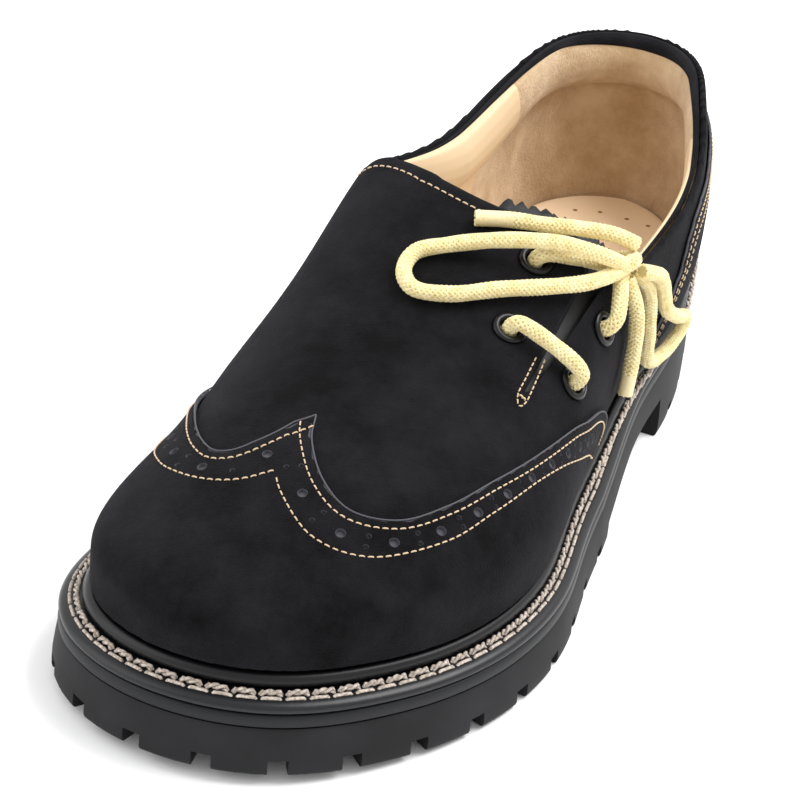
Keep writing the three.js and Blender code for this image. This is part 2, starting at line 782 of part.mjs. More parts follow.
// Tongue: behind the side slit, its top edge pinked.
const tonguePoints = [];
const tongueTop = [
  [4.945, 0.43],
  [5.018, 0.521],
  [5.09, 0.594],
  [5.146, 0.655],
  [5.195, 0.709],
  [5.238, 0.756],
  [5.274, 0.8],
  [5.292, 0.836],
];
const topRow = new THREE.SplineCurve(tongueTop.map(([s, high]) => toPattern(s, high)));
const teeth = 13;
for (let i = 0; i <= 2 * teeth; i++) {
  const p = topRow.getPointAt(i / (2 * teeth));
  const side = topRow.getTangentAt(i / (2 * teeth));
  if (i % 2) p.add(new THREE.Vector2(side.y, -side.x).multiplyScalar(2.2));
  tonguePoints.push(p);
}
for (const [s, high] of [[5.6, 0.86], [6.6, 0.84], [7.1, 0.7], [6.9, 0.5], [6.2, 0.34], [5.4, 0.3], [4.95, 0.33]]) {
  tonguePoints.push(toPattern(s, high));
}
add('tongue', wall(-2, -0.4).intersect(patch(tonguePoints, -5, 3, 20)), blackLeather);

// Collar padding: the soft roll inside the top line, from throat to throat round the heel.
function padPoint(s, drop, off) {
  let [low, high] = [0, 0.98];
  for (let i = 0; i < 30; i++) {
    const mid = (low + high) / 2;
    const p = onLast(s, mid, off);
    if (p.z < toplineAt(p.x, -p.y) - drop) low = mid;
    else high = mid;
  }
  return onLast(s, (low + high) / 2, off);
}
const padLoops = [];
const backing = 2 * gap;
const padFrom = -14;
const padTo = 13;
for (let i = padFrom; i <= padTo; i++) {
  const s = (i * rounds) / stationsRound;
  const fade = 0.35 + 0.65 * Math.min(1, Math.min(i - padFrom, padTo - i) / 3);
  const t = padThick * fade;
  padLoops.push(
    [
      [1, -backing],
      [padDeep / 2, -backing],
      [padDeep, -backing],
      [padDeep - 1.5, -backing - 0.45 * t],
      [padDeep * 0.6, -backing - 0.95 * t],
      [padDeep * 0.3, -backing - t],
      [1.4, -backing - 0.75 * t],
      [-0.4, -backing - 0.4 * t],
    ].map(([drop, off]) => padPoint(s, drop, off)),
  );
}
add('collar_padding', solidOf(skin(padLoops, false)), tanSuede);

// Eyelets: black rings through the upper, two on each side of the slit.
for (const seat of seats) {
  const outside = eyeletBore + tubeWall;
  const ring = [
    [eyeletBore, -leather - 0.1],
    [outside, -leather - 0.1],
    [outside, gap],
    [outside + 1.5, gap],
    [outside + 1.3, gap + 0.6],
    [eyeletBore + 0.2, gap + 0.8],
    [eyeletBore, gap + 0.5],
    [eyeletBore, -leather - 0.1],
  ];
  add(seat.name, lathe(ring, seat, 14), blackMetal);
}

// Lace: the bar across the slit, then the bow with its knot, loops and ends.
const [vampLow, vampTop, quarterLow, quarterTop] = seats;
const from = (seat, high, side = 0, toward = null) => {
  const p = seat.point.clone().addScaledVector(seat.out, high);
  if (toward) {
    const way = toward.point.clone().sub(seat.point);
    way.addScaledVector(seat.out, -way.dot(seat.out)).normalize();
    p.addScaledVector(way, side);
  }
  return p;
};
const laceOver = 2 * gap + 0.8 + laceDiameter / 2;
const barPath = [
  from(vampLow, -1.4),
  from(vampLow, 0.9),
  from(vampLow, laceOver + 0.1, 1.2, quarterLow),
  from(vampLow, laceOver + 0.7, 4, quarterLow),
  from(quarterLow, laceOver + 0.7, 4, vampLow),
  from(quarterLow, laceOver + 0.1, 1.2, vampLow),
  from(quarterLow, 0.9),
  from(quarterLow, -1.4),
];
add('lace_bar', solidOf(tube(barPath, laceDiameter / 2, 8, 12)), creamCord);

// The knot over the top of the slit, and the two legs that come up to it.
const knotSize = new THREE.Vector3(6.2, 5.2, 4.4);
const onTop = (station, high, off) => onLast(station, high, leather + off);
const knotAt = onTop(5.12, 0.5, 4.9);
const knotOut = normalAt(5.12, 0.5, leather);
if (knotOut.z < 0) knotOut.negate();
const ball = new THREE.IcosahedronGeometry(1, 2);
ball.scale(knotSize.x, knotSize.y, knotSize.z);
ball.applyQuaternion(new THREE.Quaternion().setFromUnitVectors(new THREE.Vector3(0, 0, 1), knotOut));
ball.translate(knotAt.x, knotAt.y, knotAt.z);
const knot = solidOf(ball);
add('lace_knot', knot, creamCord);
const roomy = new THREE.IcosahedronGeometry(1, 2);
roomy.scale(knotSize.x + gap, knotSize.y + gap, knotSize.z + gap);
roomy.applyQuaternion(new THREE.Quaternion().setFromUnitVectors(new THREE.Vector3(0, 0, 1), knotOut));
roomy.translate(knotAt.x, knotAt.y, knotAt.z);
const knotRoom = solidOf(roomy);
function strand(name, points, steps) {
  const whole = solidOf(tube(points, laceDiameter / 2, 8, steps));
  add(name, whole.subtract(knotRoom), creamCord);
}
const leg = (seat, high) => [
  from(seat, -1.4),
  from(seat, 1.3),
  seat.point.clone().addScaledVector(seat.out, laceOver + 0.1).lerp(knotAt, 0.1),
  seat.point.clone().addScaledVector(seat.out, laceOver + high).lerp(knotAt, 0.45),
  knotAt.clone().lerp(seat.point, 0.15),
];
strand('lace_leg_vamp', leg(vampTop, 0.6), 9);
strand('lace_leg_quarter', leg(quarterTop, 0.6), 8);

// Cord of the bow. Each row is station, share up the section, height over the leather.
const leftLoop = [
  [5.2, 0.52, 7],
  [5.4, 0.6, 9.4],
  [5.57, 0.7, 9.2],
  [5.72, 0.805, 6.2],
  [5.88, 0.905, 3.4],
  [6.02, 0.96, 2.6],
  [6.22, 0.965, 2.6],
  [6.36, 0.935, 2.8],
  [6.29, 0.865, 3],
  [6.04, 0.77, 3.4],
  [5.82, 0.68, 4.4],
  [5.56, 0.59, 5.8],
  [5.3, 0.53, 6],
  [5.15, 0.505, 5.4],
];
const rightLoop = [
  [5.06, 0.46, 7.5],
  [4.85, 0.4, 8],
  [4.55, 0.32, 6],
  [4.15, 0.24, 5],
  [3.75, 0.17, 5.5],
  [3.5, 0.13, 6],
  [3.52, 0.085, 6],
  [3.8, 0.065, 5.6],
  [4.2, 0.1, 4],
  [4.5, 0.22, 3.2],
  [4.74, 0.345, 3.6],
  [5, 0.455, 4.6],
];
const shortEnd = [
  [5.02, 0.52, 8.8],
  [5.1, 0.59, 9.6],
  [5.3, 0.66, 6.6],
  [5.36, 0.74, 4],
  [5.46, 0.81, 2.9],
  [5.56, 0.88, 2.5],
];
const longEnd = [
  [5.1, 0.46, 3.9],
  [5.09, 0.38, 4],
  [5.05, 0.3, 3.2],
  [5.06, 0.23, 3],
  [5.1, 0.16, 3.4],
];
const route = (rows) => rows.map(([station, high, off]) => onTop(station, high, off));
strand('lace_left_loop', route(leftLoop), 22);
strand('lace_right_loop', route(rightLoop), 22);
strand('lace_short_end', route(shortEnd), 8);
strand('lace_long_end', route(longEnd), 7);

group.name = 'haferl_shoe';
export default group;
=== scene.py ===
import json
import math

import bmesh
import bpy
import numpy as np
from mathutils import Matrix, Vector

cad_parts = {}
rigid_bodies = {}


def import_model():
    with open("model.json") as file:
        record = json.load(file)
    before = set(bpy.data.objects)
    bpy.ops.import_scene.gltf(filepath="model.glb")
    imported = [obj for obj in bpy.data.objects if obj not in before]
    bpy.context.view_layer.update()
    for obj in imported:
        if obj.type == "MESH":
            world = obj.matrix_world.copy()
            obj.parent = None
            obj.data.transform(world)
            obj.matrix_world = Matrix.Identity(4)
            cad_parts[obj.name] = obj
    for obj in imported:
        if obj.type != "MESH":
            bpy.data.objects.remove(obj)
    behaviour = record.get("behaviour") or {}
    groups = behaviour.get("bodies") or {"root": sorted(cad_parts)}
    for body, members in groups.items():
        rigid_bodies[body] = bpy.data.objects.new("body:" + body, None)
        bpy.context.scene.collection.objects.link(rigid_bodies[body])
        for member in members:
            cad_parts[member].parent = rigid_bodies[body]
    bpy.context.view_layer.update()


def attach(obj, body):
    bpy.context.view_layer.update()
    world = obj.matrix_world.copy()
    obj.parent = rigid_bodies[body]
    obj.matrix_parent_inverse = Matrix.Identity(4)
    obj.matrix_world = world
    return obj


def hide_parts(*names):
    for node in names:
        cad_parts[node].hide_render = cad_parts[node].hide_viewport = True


for old in list(bpy.data.objects):
    bpy.data.objects.remove(old)
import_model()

# The last: the wooden form that the shoe is made over. Its sections are fanned round the foot from heel
# to toe. Sizes are in metres. A place on it is a station round the foot, a share up the section from the
# foot's edge to the ridge, and a distance off the last. SHIFT carries the last into the shared frame.
LAST_LENGTH = 0.286
BALL_WIDTH = 0.096
INSTEP = 0.071
HEEL_HEIGHT = 0.0295
FORE_HEIGHT = 0.019
TOE_SPRING = 0.003
LEATHER = 0.0022
GAP = 0.0003
OVERLAY = 0.0012
SHIFT = (-0.003007, 0.145408)
LOW = 0.25
last_rows = np.array([
    # at, turn, outer, inner, ridge, swell out, swell in, lift, full out, full in
    [0.1115, 90, 0.33, 0.33, -0.0417, 0.0469, 0.0469, 0.229, 1.6, 1.6],
    [0.1135, 48, 0.295, 0.305, -0.0417, 0.0427, 0.0438, 0.229, 1.5, 1.5],
    [0.1399, 10, 0.3, 0.28, -0.0365, 0.0396, 0.0417, 0.229, 1.6, 1.5],
    [0.2448, 0, 0.385, 0.25, -0.0417, 0.0417, 0.0365, 0.25, 2.4, 2.1],
    [0.3671, 0, 0.4333, 0.174, -0.0833, 0.0469, 0.0677, 0.292, 2.6, 2.6],
    [0.4895, 0, 0.5094, 0.1573, -0.125, 0.0521, 0.097, 0.333, 2.3, 3.1],
    [0.6119, 0, 0.5365, 0.2635, -0.1042, 0.0469, 0.035, 0.271, 2.2, 2.5],
    [0.7168, 0, 0.5625, 0.3594, -0.0729, 0.0365, 0.012, 0.177, 2.2, 2],
    [0.7972, -8, 0.5375, 0.358, -0.0625, 0.0313, 0.004, 0.156, 2.2, 1.97],
    [0.8357, -34, 0.4635, 0.43, -0.0573, 0.026, -0.004, 0.146, 2.2, 2.05],
    [0.8444, -62, 0.4563, 0.468, -0.0521, 0.0208, 0.006, 0.141, 2.2, 2.15],
    [0.8462, -90, 0.4635, 0.4635, -0.0521, 0.0208, 0.016, 0.135, 2.2, 2.2],
])
ridge_rows = np.array([
    [0, 1.76], [0.105, 1.718], [0.21, 1.577], [0.315, 1.366], [0.402, 1.197], [0.472, 1.063], [0.51, 1],
    [0.559, 0.915], [0.629, 0.803], [0.699, 0.697], [0.769, 0.599], [0.839, 0.507], [0.909, 0.415],
    [1.0035, 0.31],
])
feather_rows = np.array([
    [-0.07, HEEL_HEIGHT + 0.0003], [0, HEEL_HEIGHT], [0.14, HEEL_HEIGHT - 0.0003],
    [0.264, HEEL_HEIGHT - 0.0015], [0.405, (HEEL_HEIGHT + FORE_HEIGHT) / 2 + 0.0005],
    [0.546, FORE_HEIGHT + 0.0015], [0.669, FORE_HEIGHT], [0.775, FORE_HEIGHT + 0.1 * TOE_SPRING],
    [0.88, FORE_HEIGHT + 0.35 * TOE_SPRING], [1, FORE_HEIGHT + TOE_SPRING],
    [1.056, FORE_HEIGHT + 1.4 * TOE_SPRING],
])
ROUNDS = 2 * len(last_rows) - 2
HALF = len(last_rows) - 1


def through(rows, column=1):
    """A smooth line through a table's rows, straight beyond its ends."""
    x, y = np.asarray(rows, float)[:, 0], np.asarray(rows, float)[:, column]
    a = np.eye(len(x))
    b = np.zeros(len(x))
    for i in range(1, len(x) - 1):
        left, right = x[i] - x[i - 1], x[i + 1] - x[i]
        a[i, i - 1:i + 2] = left, 2 * (left + right), right
        b[i] = 6 * ((y[i + 1] - y[i]) / right - (y[i] - y[i - 1]) / left)
    bend = np.linalg.solve(a, b)

    def line(t):
        t = np.asarray(t, float)
        inside = np.clip(t, x[0], x[-1])
        i = np.clip(np.searchsorted(x, inside) - 1, 0, len(x) - 2)
        h = x[i + 1] - x[i]
        q = (inside - x[i]) / h
        p = 1 - q
        value = p * y[i] + q * y[i + 1] + ((p**3 - p) * bend[i] + (q**3 - q) * bend[i + 1]) * h * h / 6
        first = (y[1] - y[0]) / (x[1] - x[0]) - bend[1] * (x[1] - x[0]) / 6
        end = (y[-1] - y[-2]) / (x[-1] - x[-2]) + bend[-2] * (x[-1] - x[-2]) / 6
        return value + np.where(t < x[0], first * (t - x[0]), 0) + np.where(t > x[-1], end * (t - x[-1]), 0)

    return line


def around(values):
    """A smooth closed line through values at the stations round the foot."""
    values = np.asarray(values, float)
    n = len(values)
    a = 4 * np.eye(n) + np.roll(np.eye(n), 1, 1) + np.roll(np.eye(n), -1, 1)
    bend = np.linalg.solve(a, 6 * (np.roll(values, 1) - 2 * values + np.roll(values, -1)))

    def line(t):
        t = np.asarray(t, float)
        q = t - np.floor(t)
        i = np.floor(t).astype(int) % n
        j = (i + 1) % n
        p = 1 - q
        return p * values[i] + q * values[j] + ((p**3 - p) * bend[i] + (q**3 - q) * bend[j]) / 6

    return line


def both_sides(outer, inner, size):
    """One size round the foot, from its column for the outer side and its column for the inner one."""
    return around(np.concatenate([last_rows[:, outer], last_rows[HALF - 1:0:-1, inner]]) * size)


spine_at = both_sides(0, 0, LAST_LENGTH)
spine_x = both_sides(4, 4, BALL_WIDTH)
reach = both_sides(2, 3, BALL_WIDTH)
swell = both_sides(5, 6, BALL_WIDTH)
lift = both_sides(7, 7, BALL_WIDTH)
full = both_sides(8, 9, 1)
turns = np.radians(np.concatenate([last_rows[:, 1], last_rows[HALF - 1:0:-1, 1]]))
steps_round = np.arange(ROUNDS)
facing = np.where(steps_round <= HALF, turns, -np.pi - turns)
turn_sway = around(facing - np.pi / 2 + 2 * np.pi * steps_round / ROUNDS)
ridge_share = through(ridge_rows)
feather_line = through(feather_rows)


def feather(at):
    """Height of the foot's edge over the floor, at a place along the shoe from the heel."""
    return feather_line(np.asarray(at) / LAST_LENGTH)


def heading(s):
    """The way that a section faces in plan."""
    return turn_sway(s) + np.pi / 2 - 2 * np.pi * s / ROUNDS


def on_last(station, up, off=0.0):
    """Points on the last, or off it by a distance."""
    station, up, off = np.broadcast_arrays(
        np.asarray(station, float), np.asarray(up, float), np.asarray(off, float))
    s = station % ROUNDS
    angle = heading(s)
    foot = reach(s) + off
    belly = foot + swell(s)
    q = np.clip(up / LOW, -1, 1)
    t = np.clip((up - LOW) / (1 - LOW), 0, 1) * np.pi / 2
    power = 2 / full(s)
    r = np.where(up < LOW, foot + (belly - foot) * np.sin(q * np.pi / 2),
                 belly * np.maximum(np.cos(t), 0) ** power)
    r = np.where(up >= 1, 0, r)
    at = spine_at(s) - np.sin(angle) * r
    rise = np.sin(t) ** power * (ridge_share(at / LAST_LENGTH) * INSTEP + off - lift(s))
    z = np.where(up < LOW, lift(s) * up / LOW, lift(s) + rise)
    return np.stack([spine_x(s) + np.cos(angle) * r + SHIFT[0], SHIFT[1] - at, feather(at) + z], -1)


def up_at(station, height):
    """The share up the section at a height over the foot's edge, low on the side."""
    return LOW * height / lift(np.asarray(station, float) % ROUNDS)


def facing_out(station, up, off=0.0):
    """The direction square to the surface."""
    a = on_last(station + 0.02, up, off) - on_last(station - 0.02, up, off)
    b = on_last(station, up + 0.004, off) - on_last(station, up - 0.004, off)
    n = np.cross(b, a)
    return n / np.maximum(np.linalg.norm(n, axis=-1, keepdims=True), 1e-12)


# The outsole: one moulding of black rubber with its heel, a little flared,
# with grooves between its lugs all round the edge and across the tread. It is
# cemented under the midsole, and the arch rises between heel and forefoot.
WELT_FORE, WELT_HEEL, WELT_THICK = 0.0103, 0.0052, 0.0026
MIDSOLE_THICK, FLARE = 0.0034, 0.002
LUG_DEEP, LUG_GROOVE, LUG_PITCH = 0.0042, 0.0048, 0.018
HEEL_GROOVE, FORE_GROOVE, TREAD_GROOVE = 0.010, 0.013, 0.0034
PLAIN_END = 0.009
BELOW, PAST_RIM = 0.004, 0.004
CHANNEL_FROM, CHANNEL_TO = 0.014, 0.018
BREAST_AT, LUGS_FROM, SHANK_HEIGHT = 0.086, 0.15, 0.011
SPRING_FROM = 0.669 * LAST_LENGTH


def colour(r, g, b):
    """A colour from its 0 to 255 values, as shaders take it."""
    return tuple(((c / 255 + 0.055) / 1.055) ** 2.4 if c > 10 else c / 255 / 12.92 for c in (r, g, b)) + (1,)


def finish_of(name, base, roughness=0.6, **sockets):
    """A new material; sockets are set by their names on its shader."""
    material = bpy.data.materials.new(name)
    material.use_nodes = True
    shader = material.node_tree.nodes["Principled BSDF"]
    shader.inputs["Base Color"].default_value = base
    shader.inputs["Roughness"].default_value = roughness
    for socket, value in sockets.items():
        shader.inputs[socket.replace("_", " ")].default_value = value
    return material


def place_of(material):
    """The node that gives a place on the piece, made once for each material."""
    tree = material.node_tree
    return tree.nodes.get("Texture Coordinate") or tree.nodes.new("ShaderNodeTexCoord")


def speckle(material, scale, detail=2.0, roughness=0.5):
    """Noise in the object's own place, scale in grains per metre."""
    tree = material.node_tree
    noise = tree.nodes.new("ShaderNodeTexNoise")
    noise.inputs["Scale"].default_value = scale
    noise.inputs["Detail"].default_value = detail
    noise.inputs["Roughness"].default_value = roughness
    tree.links.new(place_of(material).outputs["Object"], noise.inputs["Vector"])
    return noise.outputs["Fac"]


def tint(material, factor, low, high, dark, pale):
    """Base colour from dark to pale as the factor goes from low to high."""
    tree = material.node_tree
    ramp = tree.nodes.new("ShaderNodeValToRGB")
    ramp.color_ramp.elements[0].position, ramp.color_ramp.elements[0].color = low, dark
    ramp.color_ramp.elements[1].position, ramp.color_ramp.elements[1].color = high, pale
    tree.links.new(factor, ramp.inputs["Fac"])
    tree.links.new(ramp.outputs["Color"], tree.nodes["Principled BSDF"].inputs["Base Color"])


def relief(material, height, strength, distance, under=None):
    """Bump from a height; under is an earlier bump that it lies on."""
    tree = material.node_tree
    bump = tree.nodes.new("ShaderNodeBump")
    bump.inputs["Strength"].default_value = strength
    bump.inputs["Distance"].default_value = distance
    tree.links.new(height, bump.inputs["Height"])
    if under is not None:
        tree.links.new(under, bump.inputs["Normal"])
    tree.links.new(bump.outputs["Normal"], tree.nodes["Principled BSDF"].inputs["Normal"])
    return bump.outputs["Normal"]


def show(obj, material, stands_for=()):
    """Puts a finished piece in the scene, on the shoe's body; stands_for names the solids it replaces."""
    if obj.name not in bpy.context.scene.collection.objects:
        bpy.context.scene.collection.objects.link(obj)
    if material is not None:
        obj.data.materials.clear()
        obj.data.materials.append(material)
    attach(obj, "root")
    if stands_for:
        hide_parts(*stands_for)
    return obj


def welt_reach(at):
    """How far the welt stands out from the foot's edge."""
    return WELT_HEEL + (WELT_FORE - WELT_HEEL) * np.clip(
        (at - 0.25 * LAST_LENGTH) / (0.3 * LAST_LENGTH), 0, 1)


def at_foot(station):
    """The place along the shoe of a station at the foot's edge."""
    return SHIFT[1] - on_last(station, 0, 0)[..., 1]


def ground(at):
    """Height of the tread, which springs up at the toe."""
    return np.where(at < SPRING_FROM, 0, np.maximum(0, feather(at) - FORE_HEIGHT - 0.00005))


def edge_point(station, out, height):
    """Point off the feather edge; out is a distance off the last and height a height over the floor."""
    p = on_last(station, 0, out)
    p[..., 2] = height
    return p


def mesh_grid(across, along, place):
    """A bmesh grid of cells, its points put where place(u, v) says, with u and v from 0 to 1."""
    work = bmesh.new()
    bmesh.ops.create_grid(work, x_segments=across, y_segments=along, size=0.5)
    uv = np.array([(v.co.x + 0.5, v.co.y + 0.5) for v in work.verts])
    for v, p in zip(work.verts, place(uv[:, 0], uv[:, 1])):
        v.co = p
    return work


def piece_from(work, name, merge=1e-6, recalc=True, smooth=True):
    """The bmesh as an object, its doubles merged and its faces turned out."""
    bmesh.ops.remove_doubles(work, verts=work.verts, dist=merge)
    bmesh.ops.dissolve_degenerate(work, edges=work.edges, dist=merge)
    if recalc:
        bmesh.ops.recalc_face_normals(work, faces=work.faces)
    mesh = bpy.data.meshes.new(name)
    work.to_mesh(mesh)
    work.free()
    if smooth:
        mesh.shade_smooth()
    return bpy.data.objects.new(name, mesh)


def slab(side_rows, low, high, across=9, along=230):
    """A plate over the whole foot. side_rows give, from the bottom up, distance out and share of the height
    between the low and high surfaces, which are functions of the place along the shoe."""
    wall = len(side_rows)
    outs = np.array([row[0] for row in side_rows] + [side_rows[-1][0]] * across
                    + [row[0] for row in side_rows[::-1]] + [side_rows[0][0]] * across)
    shares = np.array([row[1] for row in side_rows] + [1] * across
                      + [row[1] for row in side_rows[::-1]] + [0] * across)
    sides = np.concatenate([np.zeros(wall), np.arange(1, across + 1) / (across + 1), np.ones(wall),
                            np.arange(across, 0, -1) / (across + 1)])
    count = len(outs)

    def place(u, v):
        k = np.round(v * count).astype(int) % count
        outer, inner = HALF * u, ROUNDS - HALF * u
        spots = []
        for station in (outer, inner):
            at = at_foot(station)
            reach_out = outs[k] + welt_reach(at)
            spots.append(edge_point(station, reach_out, low(at) + (high(at) - low(at)) * shares[k]))
        return spots[0] + (spots[1] - spots[0]) * sides[k][:, None]

    return mesh_grid(along, count, place)


def meshed(obj, name):
    """The object's final shape as a plain mesh; the object itself is taken away."""
    if obj.name not in bpy.context.scene.collection.objects:
        bpy.context.scene.collection.objects.link(obj)
    bpy.context.view_layer.update()
    mesh = bpy.data.meshes.new_from_object(obj.evaluated_get(bpy.context.evaluated_depsgraph_get()))
    bpy.data.objects.remove(obj)
    mesh.name = name
    mesh.shade_smooth()
    return bpy.data.objects.new(name, mesh)


def cut_from(obj, cutter):
    """The piece with the cutter's shape taken out."""
    bpy.context.scene.collection.objects.link(cutter)
    cut = obj.modifiers.new("cut", "BOOLEAN")
    cut.operation, cut.object, cut.solver = "DIFFERENCE", cutter, "MANIFOLD"
    piece = meshed(obj, obj.name)
    bpy.data.objects.remove(cutter)
    return piece


def run_of(line):
    """How far along a line each of its points is."""
    return np.concatenate([[0], np.cumsum(np.linalg.norm(np.diff(line, axis=0), axis=1))])


def places_along(line, run, where):
    """The places on a line at given distances along it."""
    return np.stack([np.interp(where, run, line[:, k]) for k in range(line.shape[1])], -1)


def prism(corners, way):
    """A flat outline pushed out along a way."""
    work = bmesh.new()
    face = work.faces.new([work.verts.new(corner) for corner in corners])
    pushed = bmesh.ops.extrude_face_region(work, geom=[face])["geom"]
    bmesh.ops.translate(work, vec=way, verts=[v for v in pushed if isinstance(v, bmesh.types.BMVert)])
    return work


def sole_top(at):
    """The outsole's upper face, under the midsole."""
    return feather(at) - 3 * GAP - WELT_THICK - MIDSOLE_THICK


sole_sides = [(FLARE - 0.0009, 0), (FLARE - 0.0003, 0.03), (FLARE, 0.1), (FLARE - 0.0001, 0.3),
              (FLARE - 0.0006, 0.6), (0.0007, 0.94), (0.0003, 1)]
outsole = piece_from(slab(sole_sides, ground, sole_top), "outsole_rubber")
cutters = bmesh.new()


def block(long, wide, matrix):
    """One block that cuts a groove as deep as the lugs."""
    made = bmesh.ops.create_cube(cutters, size=1)["verts"]
    bmesh.ops.scale(cutters, vec=(long, wide, LUG_DEEP + BELOW), verts=made)
    bmesh.ops.transform(cutters, matrix=matrix, verts=made)


rim_stations = np.linspace(0, ROUNDS, 1201)
rim_at = at_foot(rim_stations)
rim_points = edge_point(rim_stations, welt_reach(rim_at) + FLARE, ground(rim_at))
rim_run = run_of(rim_points)
lugs = int(round(rim_run[-1] / LUG_PITCH))
for i in range(lugs):
    station = float(np.interp((i + 0.5) * rim_run[-1] / lugs, rim_run, rim_stations))
    at = float(at_foot(station))
    if BREAST_AT < at < LUGS_FROM or min(abs(at - LUGS_FROM), abs(at - BREAST_AT)) < PLAIN_END:
        continue
    a, b = [edge_point(station + step, welt_reach(at) + FLARE, float(ground(at))) for step in (0, 0.05)]
    long = HEEL_GROOVE if at < BREAST_AT else FORE_GROOVE
    block(long + 2 * PAST_RIM, LUG_GROOVE, Matrix.Translation(a)
          @ Matrix.Rotation(math.atan2(b[1] - a[1], b[0] - a[0]) + math.pi / 2, 4, "Z")
          @ Matrix.Translation((PAST_RIM - long / 2, 0, (LUG_DEEP - BELOW) / 2)))
tread_grooves = (0.1, 0.17, 0.57, 0.63, 0.69, 0.75, 0.81, 0.87, 0.93)  # shares of the last's length
for share in tread_grooves:
    at = share * LAST_LENGTH
    block(0.66 * BALL_WIDTH, TREAD_GROOVE, Matrix.Translation(
        ((-0.003 if share < 0.3 else 0) + SHIFT[0], SHIFT[1] - at,
         float(ground(at)) + (LUG_DEEP - BELOW) / 2)))
bmesh.ops.recalc_face_normals(cutters, faces=cutters.faces)
outsole = cut_from(outsole, piece_from(cutters, "lug_cutter", smooth=False))


def channel_place(u, v):
    """The channel that runs round the tread inside the edge lugs."""
    k = np.round(v * 4).astype(int) % 4
    station = u * ROUNDS
    at = at_foot(station)
    out = welt_reach(at) + FLARE - np.array([CHANNEL_FROM, CHANNEL_TO, CHANNEL_TO, CHANNEL_FROM])[k]
    return edge_point(station, out, np.where(k < 2, -BELOW, ground(at) + LUG_DEEP))


outsole = cut_from(outsole, piece_from(mesh_grid(120, 4, channel_place), "channel_cutter", smooth=False))

# The arch under the waist of the foot, between the heel's front face and the first lugs.
arch_line = [
    (BREAST_AT + 0.0015, -0.003), (BREAST_AT, SHANK_HEIGHT + 0.001),
    (BREAST_AT + 0.012, SHANK_HEIGHT + 0.0005), (BREAST_AT + 0.03, SHANK_HEIGHT - 0.001),
    (BREAST_AT + 0.048, SHANK_HEIGHT - 0.0035), (LUGS_FROM - 0.0015, LUG_DEEP + 0.001),
    (LUGS_FROM + 0.001, -0.003),
]
arch = prism([(-0.1, SHIFT[1] - at, z) for at, z in arch_line], (0.2, 0, 0))
outsole = cut_from(outsole, piece_from(arch, "arch_cutter", smooth=False))
outsole.data.set_sharp_from_angle(angle=math.radians(40))
rubber = finish_of("black_rubber_sole", colour(25, 25, 28), 0.66, Specular_IOR_Level=0.25)
tint(rubber, speckle(rubber, 60, 4), 0.35, 0.7, colour(20, 20, 22), colour(32, 31, 34))
relief(rubber, speckle(rubber, 1500, 3), 0.12, 0.0003)
show(outsole, rubber, ("outsole",))


# The midsole: a black rubber band between welt and outsole, 3.4 mm thick, with a fine step at its lower edge.
# The welt is sewn down to it, and the outsole is cemented to its underside.
midsole_sides = [(-0.0003, 0), (0.0004, 0.04), (0.0007, 0.16), (0.0005, 0.8), (0.0001, 0.95), (-0.0004, 1)]
midsole = piece_from(slab(midsole_sides, lambda at: feather(at) - 2 * GAP - WELT_THICK - MIDSOLE_THICK,
                          lambda at: feather(at) - 2 * GAP - WELT_THICK, across=5), "midsole_band")
midsole_rubber = finish_of("midsole_rubber", colour(18, 19, 22), 0.5, Specular_IOR_Level=0.3)
relief(midsole_rubber, speckle(midsole_rubber, 900, 3), 0.1, 0.0003)
show(midsole, midsole_rubber, ("midsole",))


# The welt: a smooth black leather strip round the foot, 2.6 mm thick, its shoulder rounded.
# It lies on the midsole and is stitched down to it.
def ring_round(profile, count=420):
    """A closed ring round the foot from rows of distance out, share of the welt's reach and height."""
    rows = len(profile)
    fixed, shared, high = np.array(profile).T

    def place(u, v):
        k = np.round(v * rows).astype(int) % rows
        station = u * ROUNDS
        at = at_foot(station)
        return edge_point(station, fixed[k] + shared[k] * welt_reach(at), feather(at) + high[k])

    return mesh_grid(count, rows, place)


welt_profile = [  # out, share of the welt's reach, height over the feather edge
    (0, 0, -GAP - WELT_THICK), (0.0, 1, -GAP - WELT_THICK), (0.0005, 1, -GAP - 0.85 * WELT_THICK),
    (0.0006, 1, -GAP - 0.6 * WELT_THICK), (0.0003, 1, -GAP - 0.35 * WELT_THICK),
    (-0.0003, 1, -GAP - 0.17 * WELT_THICK), (-0.0011, 1, -GAP - 0.05 * WELT_THICK), (-0.002, 1, -GAP),
    (-0.001, 0.5, -GAP + 0.0001), (0, 0, -GAP),
]
welt = piece_from(ring_round(welt_profile), "welt_strip")
smooth_leather = finish_of("smooth_black_leather", colour(14, 15, 19), 0.36, Specular_IOR_Level=0.4)
relief(smooth_leather, speckle(smooth_leather, 700, 4), 0.15, 0.0003)
show(welt, smooth_leather, ("welt",))


# The rand: a thin roll of smooth black leather that covers the joint between upper and welt.
# It is glued down before the welt is sewn, and stands out about 3 mm.
rand_profile = [  # distance off the last, height over the foot's edge
    (LEATHER + GAP, -0.0002), (LEATHER + 0.0022, -0.0002), (LEATHER + 0.0028, 0.0004),
    (LEATHER + 0.0031, 0.0012), (LEATHER + 0.0028, 0.0021), (LEATHER + 0.0022, 0.0029),
    (LEATHER + 0.0013, 0.0035), (LEATHER + GAP, 0.0036),
]


def rand_place(u, v):
    """u runs round the foot, v round the roll's section."""
    k = np.round(v * len(rand_profile)).astype(int) % len(rand_profile)
    station = u * ROUNDS
    rows = np.array(rand_profile)[k]
    return on_last(station, up_at(station, rows[:, 1]), rows[:, 0])


rand = piece_from(mesh_grid(420, len(rand_profile), rand_place), "rand_roll")
rand_leather = finish_of("rand_leather", colour(12, 12, 15), 0.36, Specular_IOR_Level=0.3)
relief(rand_leather, speckle(rand_leather, 800, 3), 0.12, 0.0003)
show(rand, rand_leather, ("rand",))


